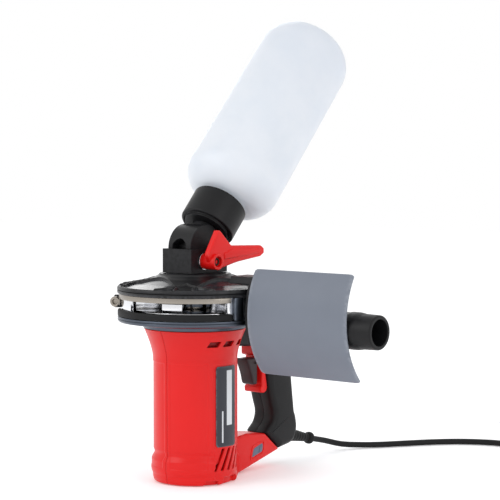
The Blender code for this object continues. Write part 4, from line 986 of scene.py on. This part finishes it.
def cover_look():
    """Satin black, with smoother and paler panels between the ribs."""
    made, tree, surface, place, edge = start_material("ribbed_cover_finish")
    panel = tree.add("ShaderNodeAttribute", attribute_name="panel").outputs["Fac"]
    colour = tree.blend(tree.ramp(panel, 0.3, 0.9), tone(15, 15, 17), tone(36, 37, 41))
    # tone(84, 85, 90) on the rubbed edges is wear and also a painted highlight along the rib edges.
    out = worn_and_shaded(tree, place, edge, colour, tone(84, 85, 90), 0.36, 0.6, 0.10, 0.08)
    tree.feed(surface.inputs["Base Color"], out["Colour"])
    smoother = tree.maths("MULTIPLY", tree.ramp(panel, 0.3, 0.9), 0.12)
    tree.feed(surface.inputs["Roughness"], tree.maths("SUBTRACT", out["Roughness"], smoother, True))
    grain = tree.add("ShaderNodeGroup", node_tree=shared(grain_group, "moulded_grain"))
    tree.feed(grain.inputs["Place"], place)
    tree.feed(grain.inputs["Cells"], 1300.0)
    bump(tree, surface, grain.outputs["Height"], 0.3, 0.00003)
    surface.inputs["Coat Weight"].default_value = 0.0
    surface.inputs["Specular IOR Level"].default_value = 0.3
    return made


def make_hopper():
    lean = (0.0, sin(radians(LEAN)), cos(radians(LEAN)))
    eased("cradle_block", "housing", "black_plastic", 0.0008)
    neck = [(0, 0.0226), *eased_line([(0.0130, 0.0226), (0.0130, 0.0120)], 0), (0, 0.0120)]
    piece("drum", [drum_part(), placed(lathe(neck, 64), PIVOT, lean)], "hopper", "black_plastic",
          ["swivel_drum"])
    cap = [(0.0085, 0.0268), (0.0221, 0.0268), (0.0221, 0.0550), (0.0262, 0.0550), (0.0270, 0.0542),
           (0.0270, 0.0262),
           (0.0262, 0.0252), (0.0240, 0.0252), (0.0236, 0.0258), (0.0226, 0.0258), (0.0222, 0.0248),
           (0.0222, 0.0231),
           (0.0085, 0.0231)]
    piece("bottle_screw_cap", [placed(turned(cap, 0.0008, 128, steps=4), PIVOT, lean)], "hopper",
          "black_plastic",
          ["bottle_cap"])
    eased("cap_gasket", "hopper", "black_rubber", 0.0002)
    piece("shot_bottle", [bottle_part(lean)], "bottle", "bottle_plastic", ["media_bottle"])


def drum_part():
    """The swivel drum on its side: a slab of a circle, its rim sunk where the arched port opens."""
    count, across = 220, 44
    a = np.linspace(0, 2 * pi, count, endpoint=False)
    x = np.concatenate([[-0.0140, -0.0140], np.linspace(-0.0136, 0.0136, across), [0.0140, 0.0140]])
    radius = np.concatenate([[0.0, 0.0219], np.full(across, 0.0224), [0.0219, 0.0]])
    grid_x, grid_a = np.meshgrid(x, a, indexing="ij")
    up = 0.0224 * np.sin(grid_a)
    facing = np.cos(grid_a) < -0.3
    hole = np.hypot(grid_x, np.where(up > 0.001, up - 0.001, 0)) < 0.0084
    deep = np.where(facing & hole & (up > -0.012), 0.0090, 0.0) * (radius[:, None] > 0.02)
    r = radius[:, None] - deep
    return {"grid": np.stack([grid_x, r * np.cos(grid_a), PIVOT[2] + r * np.sin(grid_a)], axis=-1),
            "wrap": (False, True), "caps": None}


def bottle_part(lean):
    """The bottle's wall: a round end, straight sides, a round shoulder and a neck, then back along the
    inside."""
    wall, radius, end_round, shoulder_round, far, near = 0.0016, 0.0467, 0.0300, 0.0270, 0.2704, 0.0586

    def skin(inset):
        end, low = np.radians(np.linspace(0, 90, 26)), np.radians(np.linspace(0, 76, 22))
        return [(0, far - inset),
                *zip(radius - end_round + (end_round - inset) * np.sin(end),
                     far - end_round + (end_round - inset) * np.cos(end), strict=True),
                *zip(radius - shoulder_round + (shoulder_round - inset) * np.cos(low),
                     near + shoulder_round - (shoulder_round - inset) * np.sin(low), strict=True),
                (0.0232 - inset, near + inset * 0.5), (0.0216 - inset, near - 0.0018),
                (0.0216 - inset, 0.0294)]

    return placed(lathe(skin(0) + skin(wall)[::-1], 144), PIVOT, lean)


def make_lever():
    """The clamp lever: a boss with a counterbore, a triangular wing and an arm that narrows to a
    chamfered tip."""
    y, z = -0.0075, 0.2095
    boss = [(0.0028, 0.0), (0.0075, 0.0), (0.0075, 0.0164), (0.0050, 0.0164), (0.0050, 0.0104),
            (0.0028, 0.0104)]
    wing = [(-0.0185, 0.2165), (-0.0130, 0.2050), (0.0000, 0.2030), (0.0230, 0.2078), (0.0580, 0.2116),
            (0.0630, 0.2146), (0.0630, 0.2190), (0.0584, 0.2222), (0.0150, 0.2238), (-0.0014, 0.2386),
            (-0.0044, 0.2386)]
    corners = [0.003, 0.004, 0.004, 0.006, 0.002, 0.001, 0.001, 0.002, 0.002, 0.0008, 0.0008]
    plate = slab(wing, 0.0272, 0.0330, (0.0012, 0.0012), corners)
    ridge = slab([(0.0040, 0.2110), (0.0560, 0.2150), (0.0570, 0.2192), (0.0150, 0.2205), (0.0040, 0.2170)],
                 0.0322,
                 0.0340, (0.0002, 0.0010), 0.0016)
    parts = [placed(turned(boss, 0.0005, 72), (0.0196, y, z), (1, 0, 0)), plate, ridge]
    piece("clamp_handle", parts, "clamp_lever", "red_shell", ["clamp_lever"])
    washer = [(0.0028, 0.0011), (0.0080, 0.0011), (0.0080, 0), (0.0028, 0)]
    piece("clamp_washer", [placed(turned(washer, 0.0002, 72), (0.0183, y, z), (1, 0, 0))], "clamp_lever",
          "polished_steel", ["lever_washer"])
    # Painted shade and glint: the screw is darkened for the shade in the lever's counterbore, and its pale
    # yellowish edge colour is a painted glint.
    eased("clamp_screw", "clamp_lever", "plain_steel", 0.0003,
          metal("shade_darkened_screw", tone(46, 42, 40), tone(150, 132, 104), 0.36, 1800.0, 0.00001))


def make_outlet():
    eased("suction_duct", "housing", "black_plastic", 0.0012)
    low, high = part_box("hose_connector")
    long, axis_z = high.x - low.x, (low.z + high.z) / 2
    ring = [(0.0120, long), (0.0147, long), (0.0155, long - 0.0010), (0.0158, long - 0.0160),
            (0.0162, long - 0.0180),
            (0.0168, long - 0.0220), (0.0168, long - 0.0300), (0.0162, long - 0.0320), (0.0162, 0),
            (0.0120, 0)]
    piece("hose_spigot", [placed(turned(ring, 0.0006, 96), (low.x, 0, axis_z), (1, 0, 0))], "housing",
          "black_plastic", ["hose_connector"])


def make_guard():
    """The bent sheet guard: its section follows a circle about a centre behind it, with a hemmed edge."""
    eased("guard_bracket", "housing", "black_plastic", 0.0008)
    low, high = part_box("guard_sheet")
    radius, middle_z, corner = 0.0800, 0.1630, 0.0022
    wall = bpy.context.scene.blaster_sizes.guard_wall
    centre_y, middle_x, half = low.y + radius, (low.x + high.x) / 2, (high.x - low.x) / 2 - 0.0001
    top, bottom = (pi - np.arcsin((z - middle_z) / radius) for z in (high.z, low.z))

    def on_bend(u, v, level):
        return np.stack([u, centre_y + level * np.cos(v), middle_z + level * np.sin(v)], axis=-1)

    v = np.linspace(top, bottom, 90)
    near = np.clip(corner - np.minimum(v - top, bottom - v) * radius, 0, corner)
    short = corner - np.sqrt(np.maximum(corner**2 - near**2, 0))
    across = np.linspace(-1, 1, 30)
    u = middle_x + across[None, :] * (half - short[:, None])
    grid_v = np.broadcast_to(v[:, None], u.shape)
    rim = 0.0004 * (np.abs(across) > 0.999)[None, :]
    front = on_bend(u, grid_v, np.broadcast_to(radius - rim, u.shape))
    back = on_bend(u, grid_v, np.broadcast_to(radius - wall + rim, u.shape))
    sheet = {"grid": np.concatenate([front, back[:, ::-1]], axis=1), "wrap": (False, True), "caps": "rows"}
    piece("guard_plate", [sheet], "housing", "grey_guard", ["guard_sheet"])


def make_inside():
    """The motor and the other pieces inside keep their CAD shapes and take the finishes of their slots."""
    for row in frame["record"]["subparts"]:
        obj = frame["nodes"][row["node"]]
        obj.data.materials.clear()
        obj.data.materials.append(finish(row["material_slot"]))


# ------------------------------------------------------------------- stage


def area(name, place, aim, size, power, colour=(1, 1, 1)):
    light = bpy.data.lights.new(name, "AREA")
    light.shape, light.size, light.size_y = "RECTANGLE", *size
    light.energy, light.color = power, colour
    obj = bpy.data.objects.new(name, light)
    obj.location = place
    obj.rotation_euler = (Vector(aim) - Vector(place)).to_track_quat("-Z", "Y").to_euler()
    bpy.context.scene.collection.objects.link(obj)


def make_stage():
    scene = bpy.context.scene
    look = scene.blaster_stage
    scene.view_settings.view_transform = "Standard"
    world = bpy.data.worlds.new("studio_white")
    world.use_nodes = True
    world.node_tree.nodes["Background"].inputs["Color"].default_value = (1, 1, 1, 1)
    world.node_tree.nodes["Background"].inputs["Strength"].default_value = look.fill
    scene.world = world
    grid = np.array([[(-4.0, -4.0, 0), (-4.0, 4.0, 0)], [(4.0, -4.0, 0), (4.0, 4.0, 0)]])
    mesh = mesh_from("floor", [{"grid": grid, "wrap": (False, False), "caps": None}])
    if mesh.polygons[0].normal.z < 0:
        mesh.flip_normals()
    floor = bpy.data.objects.new("floor", mesh)
    floor.location.z = -0.0002
    made, tree, surface, place, _ = start_material("pale_floor")
    tree.feed(surface.inputs["Base Color"],
              tree.blend(tree.noise(place, 2.0, 2.0), tone(250, 250, 251), tone(246, 247, 249)))
    surface.inputs["Roughness"].default_value = 0.9
    surface.inputs["Specular IOR Level"].default_value = 0.0
    surface.inputs["Emission Color"].default_value = (1, 1, 1, 1)
    surface.inputs["Emission Strength"].default_value = 0.16
    mesh.materials.append(made)
    scene.collection.objects.link(floor)
    aim = (0.02, 0.04, 0.20)
    area("key_softbox", (-0.55, -1.25, 1.00), aim, (0.8, 0.8), look.key)
    area("side_softbox", (1.30, -0.15, 0.70), aim, (0.5, 1.0), look.key * 0.55)
    area("rim_softbox", (-1.00, 0.95, 0.80), aim, (0.6, 1.0), look.key * 0.6)
    lens = bpy.data.cameras.new("camera")
    lens.sensor_width, lens.lens = 36.0, look.lens
    camera = bpy.data.objects.new("camera", lens)
    turn, drop = radians(40), radians(look.drop)
    camera.location = look.eye
    ahead = Vector((-sin(turn) * cos(drop), cos(turn) * cos(drop), -sin(drop)))
    camera.rotation_mode = "QUATERNION"
    camera.rotation_quaternion = ahead.to_track_quat("-Z", "Y")
    lens.clip_start, lens.clip_end = 0.05, 30
    scene.collection.objects.link(camera)
    scene.camera = camera


# ------------------------------------------------------------------ add-on


class BlasterSizes(bpy.types.PropertyGroup):
    vent_depth: bpy.props.FloatProperty(name="Vent depth", description="How deep the vents are sunk",
                                        default=0.0032,
                                        min=0.0005, max=0.0040, precision=4, unit="LENGTH")
    rib_height: bpy.props.FloatProperty(name="Rib height", description="How far the cover's ribs stand up",
                                        default=0.0015, min=0, max=0.0030, precision=4, unit="LENGTH")
    guard_wall: bpy.props.FloatProperty(name="Guard wall", description="How thick the bent guard is",
                                        default=0.0020,
                                        min=0.0010, max=0.0030, precision=4, unit="LENGTH")
    blades: bpy.props.IntProperty(name="Blades", description="Blades on the throwing wheel", default=6,
                                  min=2, max=12)


class BlasterColours(bpy.types.PropertyGroup):
    shell: bpy.props.FloatVectorProperty(name="Shell",
                                         description="Colour of the body, the lever and the arm",
                                         subtype="COLOR", size=4, default=tone(214, 14, 12), min=0, max=1)
    grip: bpy.props.FloatVectorProperty(name="Grip", description="Colour of the black mouldings",
                                        subtype="COLOR", size=4, default=tone(15, 15, 17), min=0, max=1)
    guard: bpy.props.FloatVectorProperty(name="Guard", description="Colour of the bent sheet guard",
                                         subtype="COLOR", size=4, default=tone(112, 118, 129), min=0, max=1)


class BlasterStage(bpy.types.PropertyGroup):
    fill: bpy.props.FloatProperty(name="Fill", description="Brightness of the white surroundings",
                                  default=1.0,
                                  min=0, max=10)
    key: bpy.props.FloatProperty(name="Key", description="Power of the front softbox", default=5.0, min=0,
                                 unit="POWER")
    lens: bpy.props.FloatProperty(name="Lens", description="Focal length in millimetres", default=136.28,
                                  min=20,
                                  subtype="DISTANCE_CAMERA")
    drop: bpy.props.FloatProperty(name="Drop", description="How far the camera looks down, in degrees",
                                  default=3.525)
    eye: bpy.props.FloatVectorProperty(name="Eye", description="Where the camera stands", subtype="XYZ",
                                       unit="LENGTH",
                                       size=3, default=(1.18813, -1.33498, 0.32895))


class BLASTER_OT_stage(bpy.types.Operator):
    """Make the floor, the lights and the camera"""

    bl_idname = "blaster.stage"
    bl_label = "Stage"

    def execute(self, context):
        make_stage()
        return {"FINISHED"}


class BLASTER_OT_cord(bpy.types.Operator):
    """Make the mains lead, its coil, tie and plug"""

    bl_idname = "blaster.cord"
    bl_label = "Cord"

    def execute(self, context):
        make_cord()
        return {"FINISHED"}


class BLASTER_OT_inside(bpy.types.Operator):
    """Give every CAD node the finish of its slot"""

    bl_idname = "blaster.inside"
    bl_label = "Inside"

    def execute(self, context):
        make_inside()
        return {"FINISHED"}


class BLASTER_OT_body(bpy.types.Operator):
    """Make the red body, its foot, label and screws"""

    bl_idname = "blaster.body"
    bl_label = "Body"

    def execute(self, context):
        make_body()
        return {"FINISHED"}


class BLASTER_OT_handle(bpy.types.Operator):
    """Make the grip, the trigger and the lock button"""

    bl_idname = "blaster.handle"
    bl_label = "Handle"

    def execute(self, context):
        make_handle()
        return {"FINISHED"}


class BLASTER_OT_chamber(bpy.types.Operator):
    """Make the flange, the liner and the band round the wheel"""

    bl_idname = "blaster.chamber"
    bl_label = "Chamber"

    def execute(self, context):
        make_chamber()
        return {"FINISHED"}


class BLASTER_OT_wheel(bpy.types.Operator):
    """Make the throwing wheel and its discs"""

    bl_idname = "blaster.wheel"
    bl_label = "Wheel"

    def execute(self, context):
        make_wheel()
        return {"FINISHED"}


class BLASTER_OT_cover(bpy.types.Operator):
    """Make the ribbed top cover"""

    bl_idname = "blaster.cover"
    bl_label = "Cover"

    def execute(self, context):
        make_cover()
        return {"FINISHED"}


class BLASTER_OT_hopper(bpy.types.Operator):
    """Make the swivel drum, its cap and the bottle"""

    bl_idname = "blaster.hopper"
    bl_label = "Hopper"

    def execute(self, context):
        make_hopper()
        return {"FINISHED"}


class BLASTER_OT_lever(bpy.types.Operator):
    """Make the clamp lever"""

    bl_idname = "blaster.lever"
    bl_label = "Lever"

    def execute(self, context):
        make_lever()
        return {"FINISHED"}


class BLASTER_OT_outlet(bpy.types.Operator):
    """Make the dust duct and the hose spigot"""

    bl_idname = "blaster.outlet"
    bl_label = "Outlet"

    def execute(self, context):
        make_outlet()
        return {"FINISHED"}


class BLASTER_OT_guard(bpy.types.Operator):
    """Make the bent sheet guard and its bracket"""

    bl_idname = "blaster.guard"
    bl_label = "Guard"

    def execute(self, context):
        make_guard()
        return {"FINISHED"}


OPERATORS = [
    BLASTER_OT_stage, BLASTER_OT_cord, BLASTER_OT_inside, BLASTER_OT_body, BLASTER_OT_handle,
    BLASTER_OT_chamber, BLASTER_OT_wheel, BLASTER_OT_cover, BLASTER_OT_hopper, BLASTER_OT_lever,
    BLASTER_OT_outlet, BLASTER_OT_guard,
]


class BLASTER_PT_sidebar(bpy.types.Panel):
    """The blaster's operators and values"""

    bl_label = "Wheel blaster"
    bl_space_type = "VIEW_3D"
    bl_region_type = "UI"
    bl_category = "Blaster"

    def draw(self, context):
        for made in OPERATORS:
            self.layout.operator(made.bl_idname)
        scene = context.scene
        for group_of in (scene.blaster_sizes, scene.blaster_colours, scene.blaster_stage):
            for name in group_of.bl_rna.properties.keys():
                if name not in {"rna_type", "name"}:
                    self.layout.prop(group_of, name)


CLASSES = [BlasterSizes, BlasterColours, BlasterStage, *OPERATORS, BLASTER_PT_sidebar]


def register():
    for made in CLASSES:
        bpy.utils.register_class(made)
    bpy.types.Scene.blaster_sizes = bpy.props.PointerProperty(type=BlasterSizes)
    bpy.types.Scene.blaster_colours = bpy.props.PointerProperty(type=BlasterColours)
    bpy.types.Scene.blaster_stage = bpy.props.PointerProperty(type=BlasterStage)


def unregister():
    del bpy.types.Scene.blaster_stage
    del bpy.types.Scene.blaster_colours
    del bpy.types.Scene.blaster_sizes
    for made in reversed(CLASSES):
        bpy.utils.unregister_class(made)


def main():
    register()
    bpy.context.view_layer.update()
    for made in OPERATORS:
        getattr(bpy.ops.blaster, made.bl_idname.removeprefix("blaster."))()
    bpy.context.view_layer.update()


if __name__ == "__main__":
    main()
